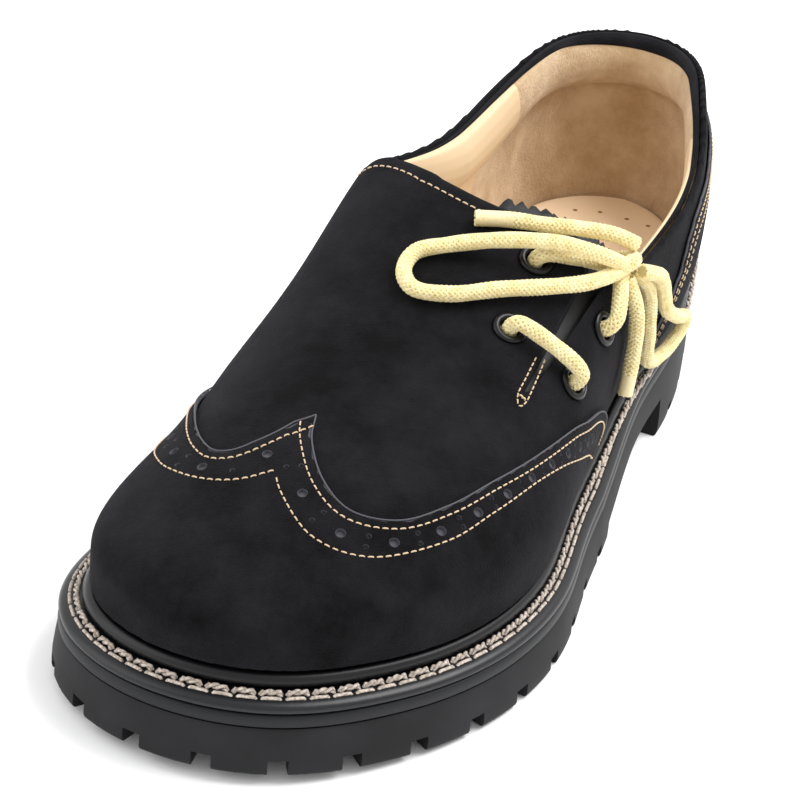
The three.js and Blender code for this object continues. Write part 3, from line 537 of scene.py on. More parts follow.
# The stitching that holds welt and midsole: a heavy waxed two ply thread in the inner row
# and a flatter single one near the welt's edge, both sewn through from above.
def curve_of(name, lines, radius, sides=2):
    """A curve object with one round spline for each line of points."""
    data = bpy.data.curves.new(name, "CURVE")
    data.dimensions = "3D"
    data.bevel_depth = radius
    data.bevel_resolution = sides
    data.use_fill_caps = True
    for line in lines:
        spline = data.splines.new("POLY")
        spline.points.add(len(line) - 1)
        spline.points.foreach_set("co", np.column_stack([line, np.ones(len(line))]).ravel())
    return bpy.data.objects.new(name, data)


def rope_stitches(name, outs, pitch, high, plies, thick=0.0009, sink=0.0006):
    """A row of stitches round the welt, each bent over it and twisted from its plies."""
    stations = np.linspace(0, ROUNDS, 3001)
    at = at_foot(stations)
    line = edge_point(stations, outs(at), feather(at) - GAP)
    run = run_of(line)
    count = int(round(run[-1] / pitch))
    share = (np.arange(9) / 8 - 0.5) * 0.86
    rise = high * np.sqrt(np.maximum(0, 1 - (share / 0.43) ** 4)) - sink * (np.abs(share) > 0.4)
    apart = thick * 0.45 if plies > 1 else 0
    threads = []
    for i in range(count):
        where = (i + 0.5 + share) * run[-1] / count
        spots = places_along(line, run, where)
        ahead = spots[-1] - spots[0]
        ahead /= np.linalg.norm(ahead)
        aside = np.cross(ahead, [0, 0, 1.0])
        for ply in range(plies):
            turn = 2 * np.pi * (share * 1.4 + ply / plies) + 0.6
            threads.append(spots + np.array([0, 0, 1.0]) * (rise + apart * np.sin(turn))[:, None]
                           + aside * (apart * np.cos(turn))[:, None])
    return meshed(curve_of(name, threads, thick / 2, 1), name)


welt_thread = finish_of("welt_thread", colour(190, 176, 162), 0.5)
tint(welt_thread, speckle(welt_thread, 1400, 2), 0.3, 0.7, colour(138, 124, 112), colour(214, 202, 190))
relief(welt_thread, speckle(welt_thread, 4200, 2), 0.3, 0.0002)
for name, outs, pitch, high, plies in (
    ("welt_stitch_inner", lambda at: 0.0066 + 0 * at, 0.0062, 0.0007, 2),
    ("welt_stitch_outer", lambda at: welt_reach(at) - 0.0021, 0.0056, 0.0002, 1),
):
    show(rope_stitches(name, outs, pitch, high, plies), welt_thread)


# The pattern: the leather is drawn flat before it is cut, each section of the last laid out straight from
# its ridge. The top line and the throat's edge are drawn on it, and the seams are set out beside its edges.
girth = around([run_of(on_last(s, np.linspace(0, 1, 61)))[-1] for s in range(ROUNDS)])


def to_pattern(station, up):
    """Flat places of the pattern for places on the last."""
    s = np.asarray(station, float) % ROUNDS
    far = girth(s) * (1 - np.asarray(up, float))
    return np.stack([np.cos(heading(s)) * far, -spine_at(s) + np.sin(heading(s)) * far], -1)


def from_pattern(p):
    """Station and share up of flat places of the pattern."""
    p = np.asarray(p, float)
    outer = p[:, 0] >= 0
    a = np.where(outer, 0.0, float(ROUNDS))
    b = np.full(len(p), float(HALF))
    for _ in range(30):
        s = (a + b) / 2
        turn = heading(s)
        cross = np.cos(turn) * (p[:, 1] + spine_at(s)) - np.sin(turn) * p[:, 0]
        ahead = np.where(outer, cross < 0, cross > 0)
        a, b = np.where(ahead, s, a), np.where(ahead, b, s)
    s = (a + b) / 2
    return s, 1 - np.hypot(p[:, 0], p[:, 1] + spine_at(s)) / girth(s)


topline_rows = [
    [-0.105, 1.25, 1.25], [0, 1.245, 1.245], [0.07, 1.23, 1.23], [0.15, 1.17, 1.195], [0.22, 1.085, 1.165],
    [0.3, 0.995, 1.145], [0.367, 0.965, 1.14], [0.42, 0.979, 1.162], [0.48, 1.014, 1.204],
    [0.559, 1.056, 1.268],
]
throat_rows = [[-0.52, 0.479], [-0.36, 0.5], [-0.12, 0.52], [0.1, 0.529], [0.26, 0.514], [0.36, 0.499],
               [0.52, 0.457]]
top_outer, top_inner, throat_line = through(topline_rows, 1), through(topline_rows, 2), through(throat_rows)


def top_height(x, at):
    """Height of the quarters' top line, passing over from the inner side's line to the outer side's."""
    t = np.clip((x / BALL_WIDTH + 0.16) / 0.32, 0, 1)
    t = t * t * (3 - 2 * t)
    a, b = top_inner(at / LAST_LENGTH), top_outer(at / LAST_LENGTH)
    return (a + (b - a) * t) * INSTEP


def over_top(p):
    """How far a point stands over the top line of the quarters."""
    return p[..., 2] - top_height(p[..., 0] - SHIFT[0], SHIFT[1] - p[..., 1])


def up_to_top(station, drop=0.0):
    """The share up at which the leather reaches the top line, or stays below it by drop."""
    low, high = np.zeros_like(station), np.full_like(station, 0.985)
    for _ in range(40):
        middle = (low + high) / 2
        above = over_top(on_last(station, middle, LEATHER)) > -drop
        low, high = np.where(above, low, middle), np.where(above, middle, high)
    return (low + high) / 2


def up_the_front(x, at):
    """Station and share up of the place on the upper half that is x across and at along."""
    outer = x > spine_x(5.2)
    a, b = np.where(outer, 3.0, 19.0), np.where(outer, 8.0, 14.0)
    for _ in range(40):
        s = (a + b) / 2
        r = np.abs(x - spine_x(s)) / np.maximum(np.abs(np.cos(heading(s))), 1e-6)
        behind = spine_at(s) - np.sin(heading(s)) * r < at
        a, b = np.where(behind, s, a), np.where(behind, b, s)
    belly = reach(s) + LEATHER + swell(s)
    t = np.arccos(np.clip(r / belly, 0, 1) ** (full(s) / 2))
    return s, LOW + (1 - LOW) * t * 2 / np.pi


# The edge of the throat, from the inner corner over the
# instep to the outer one, then the top line round the heel.
across = np.linspace(-0.5, 0.5, 900) * BALL_WIDTH
front_station, front_up = up_the_front(across, throat_line(across / BALL_WIDTH) * LAST_LENGTH)
front_over = over_top(on_last(front_station, front_up, LEATHER)) > 0
front_station, front_up = front_station[front_over], front_up[front_over]
inner_corner, outer_corner = (front_station[0], front_up[0]), (front_station[-1], front_up[-1])
quarter_stations = np.linspace(outer_corner[0] - 0.004, inner_corner[0] - ROUNDS + 0.004, 700)
collar_edge = to_pattern(quarter_stations, up_to_top(quarter_stations))
throat_edge = to_pattern(front_station, front_up)


def evenly(line, step, closed=False):
    """The same line with its points evenly spaced."""
    if closed:
        line = np.vstack([line, line[:1]])
    run = run_of(line)
    spots = places_along(line, run, np.linspace(0, run[-1], max(3, int(round(run[-1] / step))) + 1))
    return spots[:-1] if closed else spots


def inside(points, outline):
    """Which points lie inside a closed outline."""
    a, b = outline, np.roll(outline, -1, 0)
    found = np.zeros(len(points), bool)
    for start in range(0, len(points), 4000):
        x, y = points[start:start + 4000, 0:1], points[start:start + 4000, 1:2]
        spans = (a[:, 1] > y) != (b[:, 1] > y)
        cut = a[:, 0] + (y - a[:, 1]) * (b[:, 0] - a[:, 0]) / np.where(
            b[:, 1] == a[:, 1], 1e-12, b[:, 1] - a[:, 1])
        found[start:start + 4000] = ((spans & (x < cut)).sum(1) % 2) == 1
    return found


def nearest_on(points, outline):
    """The closest place of a closed outline to each point, and how far away it is."""
    a, b = outline, np.roll(outline, -1, 0)
    spots, far = np.zeros_like(points), np.zeros(len(points))
    for start in range(0, len(points), 3000):
        p = points[start:start + 3000, None, :]
        ab = (b - a)[None]
        t = np.clip(((p - a) * ab).sum(-1) / np.maximum((ab * ab).sum(-1), 1e-18), 0, 1)
        q = a + t[..., None] * ab
        d = np.linalg.norm(p - q, axis=-1)
        k = d.argmin(1)
        pick = np.arange(len(k))
        spots[start:start + 3000], far[start:start + 3000] = q[pick, k], d[pick, k]
    return spots, far


def cut_piece(name, outline, cell, off, holes=()):
    """Leather cut from the pattern and drawn over the last, off it by a distance or by off(flat places)."""
    low, high = outline.min(0) - cell, outline.max(0) + cell
    cells = np.ceil((high - low) / cell).astype(int)
    work = bmesh.new()
    bmesh.ops.create_grid(work, x_segments=int(cells[0]), y_segments=int(cells[1]), size=0.5)
    for v in work.verts:
        v.co = (low[0] + (v.co.x + 0.5) * cells[0] * cell, low[1] + (v.co.y + 0.5) * cells[1] * cell, 0)
    middles = np.array([f.calc_center_median()[:2] for f in work.faces])
    keep = inside(middles, outline)
    for hole in holes:
        keep &= ~inside(middles, hole)
    bmesh.ops.delete(work, geom=[f for f, k in zip(list(work.faces), keep) if not k], context="FACES")
    rim = [v for v in work.verts if v.is_boundary]
    flat = np.array([v.co[:2] for v in rim])
    nearest, least = nearest_on(flat, outline)
    for hole in holes:
        spots, far = nearest_on(flat, hole)
        nearest, least = np.where((far < least)[:, None], spots, nearest), np.minimum(far, least)
    for v, p in zip(rim, nearest):
        v.co = (p[0], p[1], 0)
    inner = [v for v in work.verts
             if not v.is_boundary and any(e.other_vert(v).is_boundary for e in v.link_edges)]
    for _ in range(3):
        bmesh.ops.smooth_vert(work, verts=inner, factor=0.5,
                              use_axis_x=True, use_axis_y=True, use_axis_z=False)
    bmesh.ops.remove_doubles(work, verts=work.verts, dist=cell * 0.08)
    flat = np.array([v.co[:2] for v in work.verts])
    station, up = from_pattern(flat)
    height = off(flat) if callable(off) else off
    for v, p in zip(work.verts, on_last(station, up, height)):
        v.co = p
    work.normal_update()
    lean = sum((f.calc_center_median() - Vector((SHIFT[0], f.calc_center_median().y, 0.02)))
               .normalized().dot(f.normal) for f in list(work.faces)[::7])
    if lean < 0:
        bmesh.ops.reverse_faces(work, faces=work.faces)
    return piece_from(work, name, merge=1e-7, recalc=False)


def thicken(obj, thick, offset, smooth=1, rim_material=0):
    """Gives a sheet its thickness, and softens it if smooth is 1."""
    wall = obj.modifiers.new("thickness", "SOLIDIFY")
    wall.thickness, wall.offset, wall.use_rim, wall.use_even_offset = thick, offset, True, False
    wall.material_offset_rim = rim_material
    if smooth:
        soft = obj.modifiers.new("soft", "SUBSURF")
        soft.levels = soft.render_levels = smooth
    return obj


def creases(flat):
    """Soft troughs and ridges of the worn-in leather, by place on the pattern."""
    height = np.zeros(len(flat))
    for (s0, u0), (s1, u1), wide, deep in crease_rows:
        a, b = to_pattern(s0, u0), to_pattern(s1, u1)
        t = np.clip(((flat - a) @ (b - a)) / ((b - a) @ (b - a)), 0, 1)
        d = np.linalg.norm(flat - (a + t[:, None] * (b - a)), axis=1)
        height += deep * np.exp(-(d / wide) ** 2) * np.sin(np.pi * np.clip(t, 0.08, 0.92))
    return height


crease_rows = [  # from, to, width, depth
    ((16.4, 0.72), (15.5, 0.86), 0.006, -0.0006), ((15.6, 0.6), (14.6, 0.8), 0.007, -0.0005),
    ((6.9, 0.75), (7.6, 0.95), 0.008, -0.0006), ((17.6, 0.35), (16.6, 0.3), 0.007, -0.0006),
    ((3.9, 0.16), (4.6, 0.25), 0.006, -0.0006), ((9.2, 0.45), (10.4, 0.5), 0.010, 0.0005),
    ((12.6, 0.5), (11.6, 0.55), 0.010, 0.0004), ((1.2, 0.22), (2.0, 0.2), 0.007, -0.0005),
    ((19.0, 0.2), (18.2, 0.28), 0.008, -0.0006),
]


# The upper: vamp and quarters of black suede, 2.2 mm with its lining, drawn
# over the last and turned under the foot. It is open at the collar, and a
# slit on the outer side of the instep is cut raw and closed by the lace.
whole_outline = evenly(to_pattern(np.linspace(0, ROUNDS, 1400, endpoint=False), np.zeros(1400)), 0.002, True)
collar_hole = evenly(np.vstack([throat_edge, collar_edge]), 0.0015, True)
SUEDE_CELL = 0.0027
upper = cut_piece("upper_suede", whole_outline, SUEDE_CELL, lambda flat: LEATHER + creases(flat),
                  [collar_hole])
upper = meshed(thicken(upper, LEATHER, -1), "upper_suede")

BORE_RADIUS = 0.0028
eyelet_places = {
    "eyelet_vamp_low": (6.2, 0.705), "eyelet_vamp_top": (5.55, 0.71),
    "eyelet_quarter_low": (6.1, 0.46), "eyelet_quarter_top": (5.45, 0.42),
}
seats = {}
for name, (station, up) in eyelet_places.items():
    point, out = on_last(station, up, LEATHER), facing_out(station, up, LEATHER)
    if np.dot(out, point - np.array([SHIFT[0], point[1], FORE_HEIGHT])) < 0:
        out = -out
    seats[name] = (point, out)


def standing(point, out):
    """The place and turn of a thing that stands on the leather."""
    return Matrix.Translation(point) @ Vector(out).to_track_quat("Z", "Y").to_matrix().to_4x4()


slit_x, slit_start, slit_end = 0.375 * BALL_WIDTH, 0.41 * LAST_LENGTH, 0.672 * LAST_LENGTH
SLIT_TOP, SLIT_FOOT = 0.0055, 0.0018
slit_shape = [
    (slit_x - SLIT_TOP / 2 - 0.0006, slit_start), (slit_x - SLIT_FOOT / 2 + 0.0006, slit_end),
    (slit_x + 0.0007, slit_end + SLIT_FOOT), (slit_x + SLIT_FOOT / 2 + 0.0009, slit_end),
    (slit_x + SLIT_TOP / 2 + 0.0006, slit_start),
]
slot_cut = prism([(x + SHIFT[0], SHIFT[1] - at, 0.7 * INSTEP) for x, at in slit_shape], (0, 0, 0.1))
for point, out in seats.values():
    bmesh.ops.create_cone(slot_cut, cap_ends=True, segments=24, radius1=BORE_RADIUS + 0.0006,
                          radius2=BORE_RADIUS + 0.0006, depth=0.01, matrix=standing(point, out))
upper = cut_from(upper, piece_from(slot_cut, "slit_cutter", smooth=False))
upper.data.set_sharp_from_angle(angle=math.radians(50))

suede = finish_of("suede_nap", colour(17, 16, 18), 0.95, Specular_IOR_Level=0.08, Sheen_Weight=0.09,
                  Sheen_Roughness=0.45)
suede.node_tree.nodes["Principled BSDF"].inputs["Sheen Tint"].default_value = colour(150, 148, 155)
tint(suede, speckle(suede, 34, 9, roughness=0.72), 0.36, 0.66, colour(9, 9, 10), colour(30, 29, 32))
nap = relief(suede, speckle(suede, 2600, 3), 0.6, 0.0007)
relief(suede, speckle(suede, 240, 4), 0.2, 0.0008, nap)
show(upper, suede, ("upper",))


# The upper's seams: short stitches of one pale thread that dip into the leather
# between their holes. A row runs beside the throat's edge and one at the collar's
# lower corner. A narrow U of stitches and a bar tack hold the slit's lower end.
def seam(name, flat_line, pitch, thick, off, long=0.58, high=0.00016):
    """Stitches along a line of the pattern, off the last by off. long is their share of the pitch."""
    line = evenly(flat_line, pitch / 6)
    station, up = from_pattern(line)
    skin_line = on_last(station, up, off)
    run = run_of(skin_line)
    out = facing_out(station, up, off)
    lean = np.sign(((skin_line - np.array([SHIFT[0], 0, 0.02])) * out * np.array([1, 0, 1])).sum(1))
    out = out * np.where(lean == 0, 1, lean)[:, None]
    threads = []
    for i in range(int(run[-1] / pitch)):
        where = (i + 0.5 + np.array([-0.5, -0.34, 0, 0.34, 0.5]) * long) * pitch
        lift_off = np.array([-0.5, 0.75, 1, 0.75, -0.5]) * high
        threads.append(places_along(skin_line, run, where)
                       + places_along(out, run, where) * lift_off[:, None])
    return meshed(curve_of(name, threads, thick / 2, 1), name)


def left_of(line, rounds=0):
    """Directions across a flat line to its left, evened out over some rounds."""
    ahead = np.gradient(line, axis=0)
    ahead /= np.linalg.norm(ahead, axis=1, keepdims=True)
    for _ in range(rounds):
        ahead[1:-1] = (ahead[:-2] + ahead[1:-1] + ahead[2:]) / 3
    ahead /= np.linalg.norm(ahead, axis=1, keepdims=True)
    return np.stack([-ahead[:, 1], ahead[:, 0]], -1)


def beside_edge(flat_line, distance):
    """A line of the pattern moved sideways; to its left if distance is positive."""
    line = evenly(flat_line, 0.0015)
    return line + left_of(line, 6) * distance


def smooth_line(points, step):
    """Points every step along a smooth curve through the given ones."""
    points = np.asarray(points, float)
    before = 2 * points[0] - points[1]
    after = 2 * points[-1] - points[-2]
    p = np.vstack([before, points, after])
    fine = []
    for i in range(1, len(p) - 2):
        knots = np.cumsum([0] + [max(np.linalg.norm(p[i + k] - p[i + k - 1]), 1e-7) ** 0.5 for k in range(3)])
        for t in np.linspace(knots[1], knots[2], 24, endpoint=False):
            a = [((knots[k + 1] - t) * p[i - 1 + k] + (t - knots[k]) * p[i + k]) / (knots[k + 1] - knots[k])
                 for k in range(3)]
            b = [((knots[k + 2] - t) * a[k] + (t - knots[k]) * a[k + 1]) / (knots[k + 2] - knots[k])
                 for k in range(2)]
            fine.append(((knots[2] - t) * b[0] + (t - knots[1]) * b[1]) / (knots[2] - knots[1]))
    fine = np.vstack([fine, points[-1:]])
    run = run_of(fine)
    count = max(2, int(round(run[-1] / step)) + 1)
    return places_along(fine, run, np.linspace(0, run[-1], count)), run[-1]


def on_pattern(rows):
    """A smooth line of the pattern through rows of station and share up."""
    rows = np.asarray(rows, float)
    flat = to_pattern(rows[:, 0], rows[:, 1])
    return smooth_line(np.column_stack([flat, np.zeros(len(flat))]), 0.0012)[0][:, :2]


FINE_THREAD, THROAT_THREAD = 0.0004, 0.00042
THROAT_IN = 0.0036
seam_thread = finish_of("pale_seam_thread", colour(205, 180, 148), 0.75)
relief(seam_thread, speckle(seam_thread, 5000, 2), 0.3, 0.0001)
throat_left = throat_edge[3:int(0.62 * len(throat_edge))]
corner_rows = [[5.04, 0.493], [4.82, 0.407], [4.55, 0.34], [4.33, 0.297], [3.95, 0.264]]
slit_rows = [[6.2, 0.585], [6.5, 0.59], [6.72, 0.597], [6.79, 0.61], [6.71, 0.624], [6.5, 0.62], [6.2, 0.61]]
tack_rows = [[6.69, 0.6], [6.69, 0.621]]
for name, line, pitch, thick, long, high in (
    ("throat_seam", beside_edge(throat_left, -THROAT_IN), 0.0023, THROAT_THREAD, 0.58, 0.00016),
    ("corner_seam", on_pattern(corner_rows), 0.0023, THROAT_THREAD, 0.58, 0.00016),
    ("slit_seam", on_pattern(slit_rows), 0.0019, FINE_THREAD, 0.58, 0.00016),
    ("bar_tack", on_pattern(tack_rows), 0.0009, 0.0005, 0.95, 0.0004),
):
    show(seam(name, line, pitch, thick, LEATHER, long, high), seam_thread)


# The wing cap: a second piece of the same suede over the toe, its wings pointing
# back, held by two rows of stitching. Brogue holes are punched through it between
# the rows, one large between pairs of small ones, and its edge is cut raw.
wing_outer_rows = [[4.95, -0.1], [5.15, 0.07], [5.55, 0.2], [6.11, 0.33], [6.42, 0.405], [6.88, 0.482],
                   [7.57, 0.563], [8.11, 0.608], [8.54, 0.655], [8.9, 0.748], [8.98, 0.86], [8.63, 0.949],
                   [8.16, 0.976]]
wing_inner_rows = [[8.16, 0.976], [8.47, 0.998], [13.12, 0.964], [12.91, 0.921], [12.83, 0.871],
                   [12.985, 0.815], [13.29, 0.755], [13.63, 0.681], [14.04, 0.58], [14.45, 0.475],
                   [14.85, 0.385], [15.25, 0.3], [15.7, 0.21], [16.1, 0.12], [16.35, 0.03], [16.45, -0.1]]
ABOVE_RAND = 0.0044
WING_IN, WING_PITCH = 0.0019, 0.0021


def above_rand(line):
    """The part of a line that shows above the rand."""
    station, up = from_pattern(line)
    return line[up > up_at(station, ABOVE_RAND) + 0.002]


wing_left, wing_right = above_rand(on_pattern(wing_outer_rows)), above_rand(on_pattern(wing_inner_rows))
ends = from_pattern(np.array([wing_left[0], wing_right[-1]]))[0]
foot = np.linspace(ends[1], ends[0], 500)
wing_outline = evenly(
    np.vstack([wing_left, wing_right, to_pattern(foot, up_at(foot, ABOVE_RAND))]), 0.0012, True)
wing_top = LEATHER + GAP + OVERLAY
wing = cut_piece("wing_cap_suede", wing_outline, 0.0022, lambda flat: wing_top + creases(flat))
cut_edge = finish_of("cut_suede_edge", colour(78, 78, 84), 0.95)
for material in (suede, cut_edge):
    wing.data.materials.append(material)
wing = meshed(thicken(wing, OVERLAY, -1, rim_material=1), "wing_cap_suede")
edge_row_left, edge_row_right = beside_edge(wing_left[:-2], WING_IN), beside_edge(wing_right[2:], WING_IN)
low_outer_rows = [[5.25, 0.02], [5.6, 0.09], [6.28, 0.266], [6.8, 0.395], [7.22, 0.46], [7.84, 0.507],
                  [8.3, 0.525], [8.89, 0.581], [9.25, 0.645], [9.58, 0.722], [9.76, 0.776], [10.0, 0.84],
                  [10.24, 0.885], [10.511, 0.927]]
low_inner_rows = [[10.511, 0.927], [11.49, 0.882], [12.065, 0.827], [12.559, 0.76], [13.007, 0.669],
                  [13.239, 0.611], [13.566, 0.52], [14.1, 0.4], [14.7, 0.28], [15.3, 0.17], [15.8, 0.07]]
low_left, low_right = above_rand(on_pattern(low_outer_rows)), above_rand(on_pattern(low_inner_rows))
for name, line in (("wing_seam_left", edge_row_left), ("wing_seam_right", edge_row_right),
                   ("wing_low_seam_left", low_left), ("wing_low_seam_right", low_right)):
    show(seam(name, line, WING_PITCH, FINE_THREAD, wing_top), seam_thread)


def between(a, b, count=200):
    """The line half way between two lines."""
    t = np.linspace(0, 1, count)
    a, b = [places_along(line, np.linspace(0, 1, len(line)), t)
            for line in (evenly(a, 0.001), evenly(b, 0.001))]
    return (a + b) / 2


LARGE_HOLE, SMALL_HOLE, HOLE_PITCH, PAIR_APART = 0.0013, 0.0007, 0.0051, 0.0012
punch = bmesh.new()
for band in (between(edge_row_left, low_left), between(edge_row_right, low_right)):
    line = evenly(band, HOLE_PITCH)
    aside = left_of(line) * PAIR_APART
    for i in range(1, len(line) - 1):
        pair = [(line[i] + aside[i], SMALL_HOLE), (line[i] - aside[i], SMALL_HOLE)]
        row = [(line[i], LARGE_HOLE)] if i % 2 else pair
        for spot, radius in row:
            station, up = from_pattern(np.array([spot]))
            point, out = on_last(station, up, wing_top)[0], facing_out(station, up, wing_top)[0]
            if np.dot(point - [SHIFT[0], point[1], 0.02], out) < 0:
                out = -out
            bmesh.ops.create_cone(punch, cap_ends=True, segments=12, radius1=radius * 0.9,
                                  radius2=radius * 1.15, depth=0.0024,
                                  matrix=standing(point + out * 0.0002, out))
punches = piece_from(punch, "brogue_punches", merge=1e-9, smooth=False)
punches.data.materials.append(cut_edge)
wing = cut_from(wing, punches)
wing.data.set_sharp_from_angle(angle=math.radians(50))
show(wing, None, ("wing_cap",))


def raw_edge(name, flat_line):
    """The lighter burr along a cut edge of suede."""
    station, up = from_pattern(evenly(flat_line, 0.0008))
    return meshed(curve_of(name, [on_last(station, up, wing_top - 0.00012)], 0.00022, 1), name)


show(raw_edge("wing_burr_left", wing_left), cut_edge)
show(raw_edge("wing_burr_right", wing_right), cut_edge)


# The heel counter: a piece of the same suede laid over the back of the quarters, which stiffens the heel.
# Two rows of stitching run along its raw edge.
counter_rows = [[3.85, -0.1], [3.75, 0.08], [3.6, 0.175], [3.45, 0.24], [3.2, 0.3], [2.6, 0.345],
                [1.6, 0.385], [0.8, 0.405], [0, 0.41]]
COUNTER_PITCH = 0.0022
counter_line = above_rand(on_pattern(counter_rows + [[ROUNDS - s, u] for s, u in counter_rows[-2::-1]]))
ends = from_pattern(np.array([counter_line[0], counter_line[-1]]))[0]
foot = np.linspace(ends[1] - ROUNDS, ends[0], 300)
counter_outline = evenly(np.vstack([counter_line, to_pattern(foot, up_at(foot, ABOVE_RAND))]), 0.0012, True)
counter = cut_piece("heel_counter_suede", counter_outline, 0.0022, wing_top)
for material in (suede, cut_edge):
    counter.data.materials.append(material)
counter = meshed(thicken(counter, OVERLAY, -1, rim_material=1), "heel_counter_suede")
show(counter, None, ("heel_counter",))
for name, distance in (("counter_seam_one", -0.0018), ("counter_seam_two", -0.0052)):
    line = above_rand(beside_edge(counter_line, distance))
    show(seam(name, line, COUNTER_PITCH, FINE_THREAD, wing_top), seam_thread)


# The lining: tan suede round the heel, which grips it, and smooth pale leather from the waist forward.
# Both are glued inside the upper and end behind the tongue.
tan_suede = finish_of("tan_suede_lining", colour(216, 184, 140), 0.95, Sheen_Weight=0.3, Sheen_Roughness=0.5)
tint(tan_suede, speckle(tan_suede, 75, 5, roughness=0.65), 0.35, 0.68,
     colour(196, 160, 114), colour(230, 202, 162))
relief(tan_suede, speckle(tan_suede, 1100, 5, roughness=0.7), 0.9, 0.0012)
smooth_lining = finish_of("smooth_lining", colour(216, 190, 154), 0.5, Specular_IOR_Level=0.3)
relief(smooth_lining, speckle(smooth_lining, 500, 4), 0.1, 0.0003)
lining_hole = evenly(to_pattern(*[np.concatenate(pair) for pair in (
    (front_station, quarter_stations),
    (front_up - 0.03, up_to_top(quarter_stations, 0.003)))]), 0.0015, True)
slit_window = [[4.7, 0.42], [5.3, 0.42], [5.9, 0.44], [6.9, 0.53], [7.05, 0.61], [6.9, 0.69], [5.9, 0.72],
               [5.2, 0.76]]
window = evenly(to_pattern(*np.array(slit_window).T), 0.0015, True)
lining = cut_piece("lining_leather", whole_outline, 0.0032, -0.0002, [lining_hole, window])
lining = meshed(thicken(lining, 0.0006, -1, 0), "lining_leather")
show(lining, smooth_lining)
lining.data.materials.append(tan_suede)
# The grip's front edge is cut clean: straight down at first, then sloping forward below GRIP_KNEE.
GRIP_FRONT, GRIP_KNEE, GRIP_SLOPE = 0.056, 0.072, 0.8
parted = bmesh.new()
parted.from_mesh(lining.data)
for height, slope in ((0, 0), (GRIP_KNEE, -GRIP_SLOPE)):
    bmesh.ops.bisect_plane(parted, geom=parted.verts[:] + parted.edges[:] + parted.faces[:], dist=1e-7,
                           plane_co=(0, SHIFT[1] - GRIP_FRONT, height), plane_no=(0, 1, slope))
parted.to_mesh(lining.data)
parted.free()
grip = [SHIFT[1] - p.center.y < GRIP_FRONT + GRIP_SLOPE * max(0, GRIP_KNEE - p.center.z)
        for p in lining.data.polygons]
lining.data.polygons.foreach_set("material_index", np.array(grip, np.int32))


# The insole: a smooth pale leather sock glued over its cork filled board, with a row of
# fine pinholes at the heel. It lies on the foot bed and reaches the lining all round.
INSOLE_TOP, INSOLE_THICK, INSOLE_ROOM = 0.003, 0.006, -0.0009


def insole_place(u, v):
    """u runs from heel to toe, v across; the edge is a little rounded."""
    a, b = on_last(HALF * u, 0, INSOLE_ROOM), on_last(ROUNDS - HALF * u, 0, INSOLE_ROOM)
    p = a + (b - a) * v[:, None]
    rim = np.minimum(v, 1 - v) * np.linalg.norm(b - a, axis=1)
    p[:, 2] = feather(SHIFT[1] - p[:, 1]) + INSOLE_TOP - 0.0008 * np.exp(-rim / 0.0012)
    return p


insole = piece_from(mesh_grid(200, 36, insole_place), "insole_sock")
insole = meshed(thicken(insole, INSOLE_THICK, -1, 0), "insole_sock")
sock = finish_of("insole_leather", colour(252, 226, 190), 0.55, Specular_IOR_Level=0.3)
tint(sock, speckle(sock, 30, 3), 0.3, 0.7, colour(249, 221, 184), colour(255, 230, 196))
relief(sock, speckle(sock, 700, 4), 0.08, 0.0003)
show(insole, sock, ("insole",))
# The pinholes are not cut: flat dark brown discs lie on the sock, and their colour is painted shade of the
# holes.
pinhole_painted_shade = finish_of("pinhole", colour(150, 110, 70), 0.9)
pins = bmesh.new()
pin_places = [(-0.0176, 0.1267), (-0.0103, 0.13), (-0.0012, 0.13), (0.0063, 0.129), (0.0118, 0.1235)]
for x, y in pin_places:
    pin_top = float(feather(SHIFT[1] - y)) + INSOLE_TOP + 0.00005
    bmesh.ops.create_cone(pins, cap_ends=True, segments=12, radius1=0.0008, radius2=0.0006, depth=0.0001,
                          matrix=Matrix.Translation((x, y, pin_top)))
show(piece_from(pins, "insole_pinholes", merge=1e-9, smooth=False), pinhole_painted_shade)


# The padding: a soft roll inside the top line, covered in smooth pale leather
# in front and in tan suede round the heel. The upper's own suede is turned
# over its top, and a stitched seam under it joins the cover to the lining.
ROLL_THICK = 0.006
ROLL_FROM, ROLL_TO = -14, 13  # thirds of a station, from the inner side round the heel to the outer one
roll_rows = np.array([  # how far below the top line, share of the roll's thickness
    (0.0002, 0.0), (-0.0008, 0.3), (-0.0006, 0.62), (0.0012, 0.88), (0.0035, 1.04), (0.006, 1.06),
    (0.0082, 0.94), (0.0098, 0.74), (0.0108, 0.48), (0.0112, 0.28), (0.0118, 0.18), (0.0118, 0.0),
    (0.006, 0.0),
])


def roll_place(u, v):
    """u runs along the top line, v round the roll's section."""
    third = ROLL_FROM + (ROLL_TO - ROLL_FROM) * u
    fade = 0.2 + 0.8 * np.clip(np.minimum(third - ROLL_FROM, (ROLL_TO - third) * 0.24) / 3, 0, 1)
    where = np.linspace(0, 1, len(roll_rows))
    below, share = [np.interp(v, where, column) for column in roll_rows.T]
    station = third / 3
    up = up_to_top(station % ROUNDS)
    return on_last(station, up - below / girth(station), -0.0006 - share * ROLL_THICK * fade)


roll = piece_from(mesh_grid(240, 36, roll_place), "collar_roll")
roll = meshed(thicken(roll, 0.0004, 0, 1), "collar_roll")
show(roll, tan_suede, ("collar_padding",))
roll.data.materials.append(smooth_lining)
COVER_SEAM = 0.053
smooth_part = [SHIFT[1] - p.center.y > COVER_SEAM for p in roll.data.polygons]
roll.data.polygons.foreach_set("material_index", np.array(smooth_part, np.int32))


def fold_place(u, v):
    """The strip of the roll's top that the upper's suede covers, widest at the back of the heel."""
    return roll_place(u, v * (0.06 + 0.17 * np.exp(-((u - 0.52) / 0.24) ** 2)))


fold = piece_from(mesh_grid(240, 10, fold_place), "collar_fold")
show(meshed(thicken(fold, 0.0013, 0, 1), "collar_fold"), suede)
roll_thread = finish_of("roll_seam_thread", colour(214, 186, 140), 0.75)


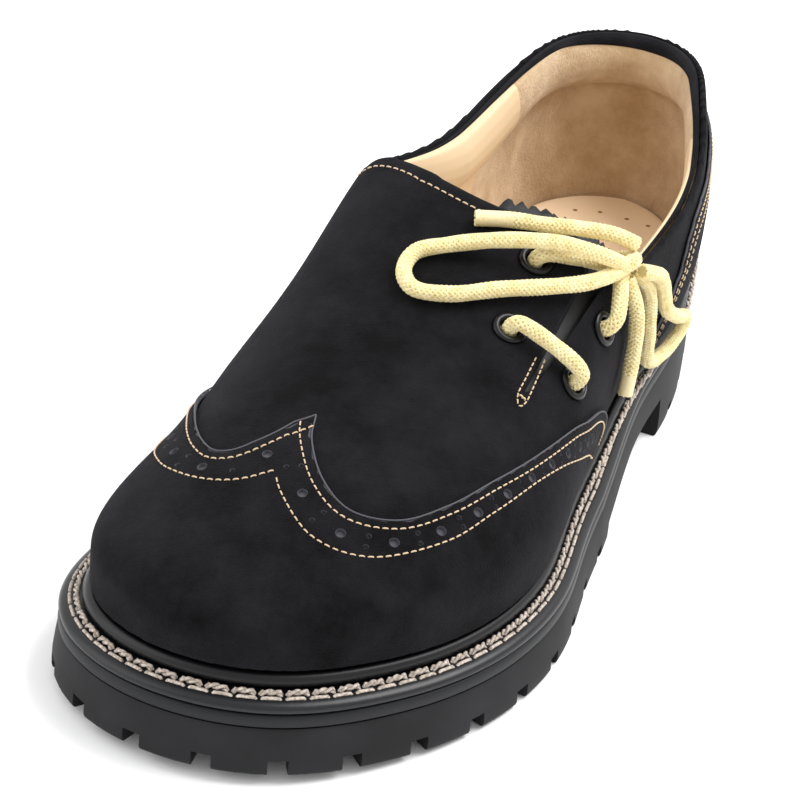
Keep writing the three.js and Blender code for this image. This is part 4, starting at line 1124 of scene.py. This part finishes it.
def inner_seam(name, stations, drop, off, pitch=0.0034, thick=0.0006):
    """Stitches on the lining, below the top line by drop."""
    up = up_to_top(np.asarray(stations) % ROUNDS, drop)
    spots = smooth_line(on_last(stations, up, off), 0.0004)[0]
    run = run_of(spots)
    toward = np.array([SHIFT[0], 0, 0.05]) - spots
    toward[:, 1] = 0
    toward /= np.linalg.norm(toward, axis=1, keepdims=True)
    threads = []
    for i in range(int(run[-1] / pitch)):
        where = (i + 0.5 + np.array([-0.5, -0.3, 0, 0.3, 0.5]) * 0.62) * pitch
        lift_off = np.array([-0.6, 0.7, 1, 0.7, -0.6]) * 0.0003
        threads.append(places_along(spots, run, where) + places_along(toward, run, where) * lift_off[:, None])
    return meshed(curve_of(name, threads, thick / 2, 1), name)


show(inner_seam("roll_seam", np.linspace(-2.7, 2.7, 90), 0.0136, -0.0012), roll_thread)


# The tongue: a piece of thin black leather behind the side slit, which keeps the lace off the foot.
# Its top edge is pinked and stands a little over the throat, and its foot is sewn in under the vamp.
tongue_leather = finish_of("tongue_leather", colour(24, 24, 26), 0.6, Specular_IOR_Level=0.4)
relief(tongue_leather, speckle(tongue_leather, 420, 5), 0.25, 0.0006)


def pinked(line, teeth, deep):
    """A saw-toothed copy of a line, its teeth standing out to the line's left."""
    line = evenly(line, 0.0004)
    wave = 1 - np.abs(2 * ((np.linspace(0, 1, len(line)) * teeth) % 1) - 1)
    return line + left_of(line) * (wave * deep)[:, None]


TEETH, TOOTH_DEEP, TONGUE_THICK, TONGUE_RISE = 13, 0.0024, 0.0012, 0.0032
tongue_top = [[5.292, 0.836], [5.274, 0.8], [5.238, 0.756], [5.195, 0.709], [5.146, 0.655], [5.09, 0.594],
              [5.018, 0.521], [4.945, 0.43]]
tongue_low = [[4.95, 0.33], [5.4, 0.3], [6.2, 0.34], [6.9, 0.5], [7.1, 0.7], [6.6, 0.84], [5.6, 0.86]]
tongue_edge = pinked(beside_edge(on_pattern(tongue_top), TONGUE_RISE), TEETH, TOOTH_DEEP)
tongue_outline = evenly(np.vstack([tongue_edge, to_pattern(*np.array(tongue_low).T)]), 0.0005, True)
tongue = thicken(cut_piece("tongue_leather", tongue_outline, 0.0016, -0.0009), TONGUE_THICK, -1, 0)
show(meshed(tongue, "tongue_leather"), tongue_leather, ("tongue",))


# The eyelets: four black lacquered metal rings, two on each side of the slit.
# Each is set through its hole from the front, and its barrel is clenched behind the leather.
lacquer = finish_of("black_lacquer", colour(22, 22, 24), 0.28, Metallic=0.5)
ring_profile = [  # distance from the middle beyond the bore, height over the leather
    (0, -0.0023), (0, 0.0002), (0.00025, 0.0009), (0.0009, 0.0011), (0.0016, 0.0008), (0.002, 0.0003),
    (0.0005, 0.00028), (0.0005, -0.0023),
]
for name, (point, out) in seats.items():
    ring = bmesh.new()
    rim = [ring.verts.new((BORE_RADIUS + r, 0, h)) for r, h in ring_profile]
    for a, b in zip(rim, rim[1:] + rim[:1]):
        ring.edges.new((a, b))
    bmesh.ops.spin(ring, geom=ring.verts[:] + ring.edges[:], axis=(0, 0, 1), cent=(0, 0, 0),
                   angle=2 * math.pi, steps=36, use_merge=True)
    bmesh.ops.transform(ring, matrix=standing(point, out), verts=ring.verts)
    show(piece_from(ring, name + "_ring"), lacquer, (name,))


# The lace: one limp round cord of pale cotton, 4 mm thick, braided from sixteen yarns over a core.
# It runs through the eyelets and is tied in a bow over the slit. The short and the long end are cut and
# melted hard, so that the braid doesn't fray, and the cord behind the leather isn't made.
LACE, CORE_IN = 0.004, 0.00025
YARN, YARNS_EACH_WAY, BRAID_PITCH = 0.00042, 8, 0.0105


def frames_along(line):
    """Two directions across a line at each of its points, turning as little as they can."""
    tangent = np.gradient(line, axis=0)
    tangent /= np.linalg.norm(tangent, axis=1, keepdims=True)
    first = np.cross(tangent[0], [0, 0, 1.0])
    if np.linalg.norm(first) < 0.2:
        first = np.cross(tangent[0], [1.0, 0, 0])
    ups = [first / np.linalg.norm(first)]
    for t in tangent[1:]:
        v = ups[-1] - t * np.dot(ups[-1], t)
        ups.append(v / np.linalg.norm(v))
    ups = np.array(ups)
    return tangent, ups, np.cross(tangent, ups)


def braid(name, lines):
    """Yarns over and under one another round each line."""
    yarns = []
    for points in lines:
        line, length = smooth_line(points, 0.00062)
        tangent, across, up = frames_along(line)
        run = np.linspace(0, length, len(line))
        for way in (1, -1):
            for k in range(YARNS_EACH_WAY):
                turn = way * 2 * np.pi * run / BRAID_PITCH + 2 * np.pi * k / YARNS_EACH_WAY
                weave = np.cos(2 * np.pi * run / BRAID_PITCH * YARNS_EACH_WAY + (0 if way > 0 else np.pi))
                r = LACE / 2 - 0.00032 + 0.00016 * weave
                yarns.append(line + (np.cos(turn) * r)[:, None] * across + (np.sin(turn) * r)[:, None] * up)
    return meshed(curve_of(name, yarns, YARN, 1), name)


lace_cotton = finish_of("lace_cotton", colour(224, 204, 148), 0.85, Sheen_Weight=0.2)
tint(lace_cotton, speckle(lace_cotton, 420, 3), 0.3, 0.7, colour(222, 202, 140), colour(242, 228, 178))
relief(lace_cotton, speckle(lace_cotton, 5200, 2), 0.35, 0.0002)
lace_core = finish_of("lace_core", colour(200, 182, 125), 0.9)


def over_leather(rows):
    """Route points: station, share up the section and millimetres over the leather."""
    rows = np.asarray(rows, float)
    return on_last(rows[:, 0], rows[:, 1], LEATHER + rows[:, 2] / 1000)


left_loop_rows = [
    [5.2, 0.52, 7], [5.4, 0.6, 9.4], [5.57, 0.7, 9.2], [5.72, 0.805, 6.2], [5.88, 0.905, 3.4],
    [6.02, 0.96, 2.6], [6.22, 0.965, 2.6], [6.36, 0.935, 2.8], [6.29, 0.865, 3], [6.04, 0.77, 3.4],
    [5.82, 0.68, 4.4], [5.56, 0.59, 5.8], [5.3, 0.53, 6], [5.15, 0.505, 5.4],
]
right_loop_rows = [
    [5.06, 0.46, 7.5], [4.85, 0.4, 8], [4.55, 0.32, 6], [4.15, 0.24, 5], [3.75, 0.17, 5.5], [3.5, 0.13, 6],
    [3.52, 0.085, 6], [3.8, 0.065, 5.6], [4.2, 0.1, 4], [4.5, 0.22, 3.2], [4.74, 0.345, 3.6], [5, 0.455, 4.6],
]
short_end_rows = [
    [5.02, 0.52, 8.4], [5.1, 0.575, 7.2], [5.22, 0.65, 4.8], [5.34, 0.73, 2.9], [5.45, 0.81, 2.5],
    [5.56, 0.88, 2.5],
]
long_end_rows = [[5.1, 0.46, 3.9], [5.09, 0.38, 4], [5.05, 0.3, 3.2], [5.06, 0.23, 3], [5.1, 0.16, 3.4]]
cords = {}
for name, rows, far_end in (
    ("lace_left_loop", left_loop_rows, "knot"),
    ("lace_right_loop", right_loop_rows, "knot"),
    ("lace_short_end", short_end_rows, "bare"),
    ("lace_long_end", long_end_rows, "bare"),
):
    line, length = smooth_line(over_leather(rows), 0.0012)
    core = show(curve_of(name + "_core", [line], LACE / 2 - CORE_IN), lace_core, (name,))
    yarns = show(braid(name + "_braid", [over_leather(rows)]), lace_cotton)
    cords[name] = (core, yarns, line, length, far_end)

# The knot: the same cord drawn tight over the top of the slit, with one wrap round the two loops.
knot_centre = on_last(5.12, 0.5, LEATHER + 0.0049)
knot_out = facing_out(5.12, 0.5, LEATHER)
knot_out = knot_out * (1 if knot_out[2] > 0 else -1)
knot_along = np.cross(knot_out, [0.45, 0.9, 0])
knot_along /= np.linalg.norm(knot_along)
knot_across = np.cross(knot_out, knot_along)
KNOT_WIDE, KNOT_HIGH, KNOT_CLIMB = 0.0036, 0.0027, 0.00075
angles = np.linspace(-0.75 * np.pi, 1.75 * np.pi, 26)
wrap = (knot_centre + np.outer(np.cos(angles) * KNOT_WIDE, knot_across)
        + np.outer(np.sin(angles) * KNOT_HIGH, knot_out)
        + np.outer(angles * KNOT_CLIMB - 0.0009, knot_along))


def tight_core(name, route):
    """The core of a stretch that is drawn tight."""
    return meshed(curve_of(name, [smooth_line(route, 0.0008)[0]], LACE / 2 - 0.0004), name)


knot_core = show(tight_core("lace_knot_core", wrap), lace_core, ("lace_knot",))
knot_yarns = show(braid("lace_knot_braid", [wrap]), lace_cotton)

melted = finish_of("melted_tip", colour(232, 214, 168), 0.4)
relief(melted, speckle(melted, 900, 2), 0.4, 0.0003)
for name, cord, points in (("lace_short_tip", "lace_short_end", 9), ("lace_long_tip", "lace_long_end", 6)):
    tip = meshed(curve_of(name, [cords[cord][2][-points:]], LACE / 2 + 0.00012, 4), name)
    show(tip, melted)


def beside(seat, high, aside=0.0, toward=None):
    """A place over an eyelet, and to its side toward another one."""
    point, out = seats[seat]
    p = point + out * high
    if toward:
        way = seats[toward][0] - point
        way = way - out * np.dot(way, out)
        p = p + way / np.linalg.norm(way) * aside
    return p


over = 2 * GAP + 0.0008 + LACE / 2
bar_route = [
    beside("eyelet_vamp_low", -0.0014), beside("eyelet_vamp_low", 0.0009),
    beside("eyelet_vamp_low", over + 0.0001, 0.0012, "eyelet_quarter_low"),
    beside("eyelet_vamp_low", over + 0.0007, 0.004, "eyelet_quarter_low"),
    beside("eyelet_quarter_low", over + 0.0007, 0.004, "eyelet_vamp_low"),
    beside("eyelet_quarter_low", over + 0.0001, 0.0012, "eyelet_vamp_low"),
    beside("eyelet_quarter_low", 0.0009), beside("eyelet_quarter_low", -0.0014),
]


def leg_route(seat):
    """The way from a top eyelet into the knot."""
    rising, above = beside(seat, over + 0.0001), beside(seat, over + 0.0006)
    return [beside(seat, -0.0014), beside(seat, 0.0013), rising + (knot_centre - rising) * 0.1,
            above + (knot_centre - above) * 0.45, knot_centre + (seats[seat][0] - knot_centre) * 0.15]


for name, route in (("lace_bar", bar_route), ("lace_leg_vamp", leg_route("eyelet_vamp_top")),
                    ("lace_leg_quarter", leg_route("eyelet_quarter_top"))):
    show(tight_core(name + "_core", route), lace_core, (name,))
    show(braid(name + "_braid", [route]), lace_cotton)


# The camera stands where the photographer stood, a little above and to the outer side of the toe.
# It has a long lens, and it is tipped by about five degrees.
side, height_angle, roll_angle = math.radians(22.36), math.radians(28.745), math.radians(5.467)
CAMERA_FAR, FOCAL_PIXELS, PICTURE_PIXELS, SENSOR = 0.654038, 2406.929, 800, 36
flat_share = math.cos(height_angle)
back = Vector((math.sin(side) * flat_share, -math.cos(side) * flat_share, math.sin(height_angle)))
aim = Vector((-0.010997 + SHIFT[0], -0.016308 + SHIFT[1] - 0.142, 0.029158))
level = (-back).cross(Vector((0, 0, 1))).normalized()
upright = level.cross(-back)
level, upright = (level * math.cos(roll_angle) + upright * math.sin(roll_angle),
                  upright * math.cos(roll_angle) - level * math.sin(roll_angle))
lens = bpy.data.cameras.new("camera")
lens.sensor_width = SENSOR
lens.lens = FOCAL_PIXELS / PICTURE_PIXELS * SENSOR
lens.clip_start, lens.clip_end = 0.05, 20
camera = bpy.data.objects.new("camera", lens)
camera.matrix_world = Matrix(
    [(level[k], upright[k], back[k], aim[k] + back[k] * CAMERA_FAR) for k in range(3)] + [(0, 0, 0, 1)])
bpy.context.scene.collection.objects.link(camera)
bpy.context.scene.camera = camera
bpy.context.scene.view_settings.view_transform = "Standard"


# The picture's ground: a plain white paper sweep under the shoe.
# It is lit by a broad soft light from above and behind, a weaker one from the inner side, and a white sky.
sweep = bmesh.new()
bmesh.ops.create_grid(sweep, x_segments=1, y_segments=1, size=4)
ground_sheet = piece_from(sweep, "white_sweep", smooth=False)
bpy.context.scene.collection.objects.link(ground_sheet)
white_paper = finish_of("white_paper", colour(250, 250, 250), 0.9, Specular_IOR_Level=0.0)
ground_sheet.data.materials.append(white_paper)
sky = bpy.data.worlds.new("studio")
bpy.context.scene.world = sky
sky.use_nodes = True
sky.node_tree.nodes["Background"].inputs["Color"].default_value = (1, 1, 1, 1)
sky.node_tree.nodes["Background"].inputs["Strength"].default_value = 1.0


def soft_light(name, place, size, energy):
    """A square soft box that points at the shoe."""
    light = bpy.data.lights.new(name, "AREA")
    light.size, light.energy = size, energy
    lamp = bpy.data.objects.new(name, light)
    lamp.location = place
    lamp.rotation_euler = (Vector((0, 0, 0.04)) - lamp.location).to_track_quat("-Z", "Y").to_euler()
    bpy.context.scene.collection.objects.link(lamp)


soft_light("key", (0.55, 0.35, 1.1), 0.8, 16)
soft_light("fill", (-0.9, -0.6, 0.7), 1.2, 6)
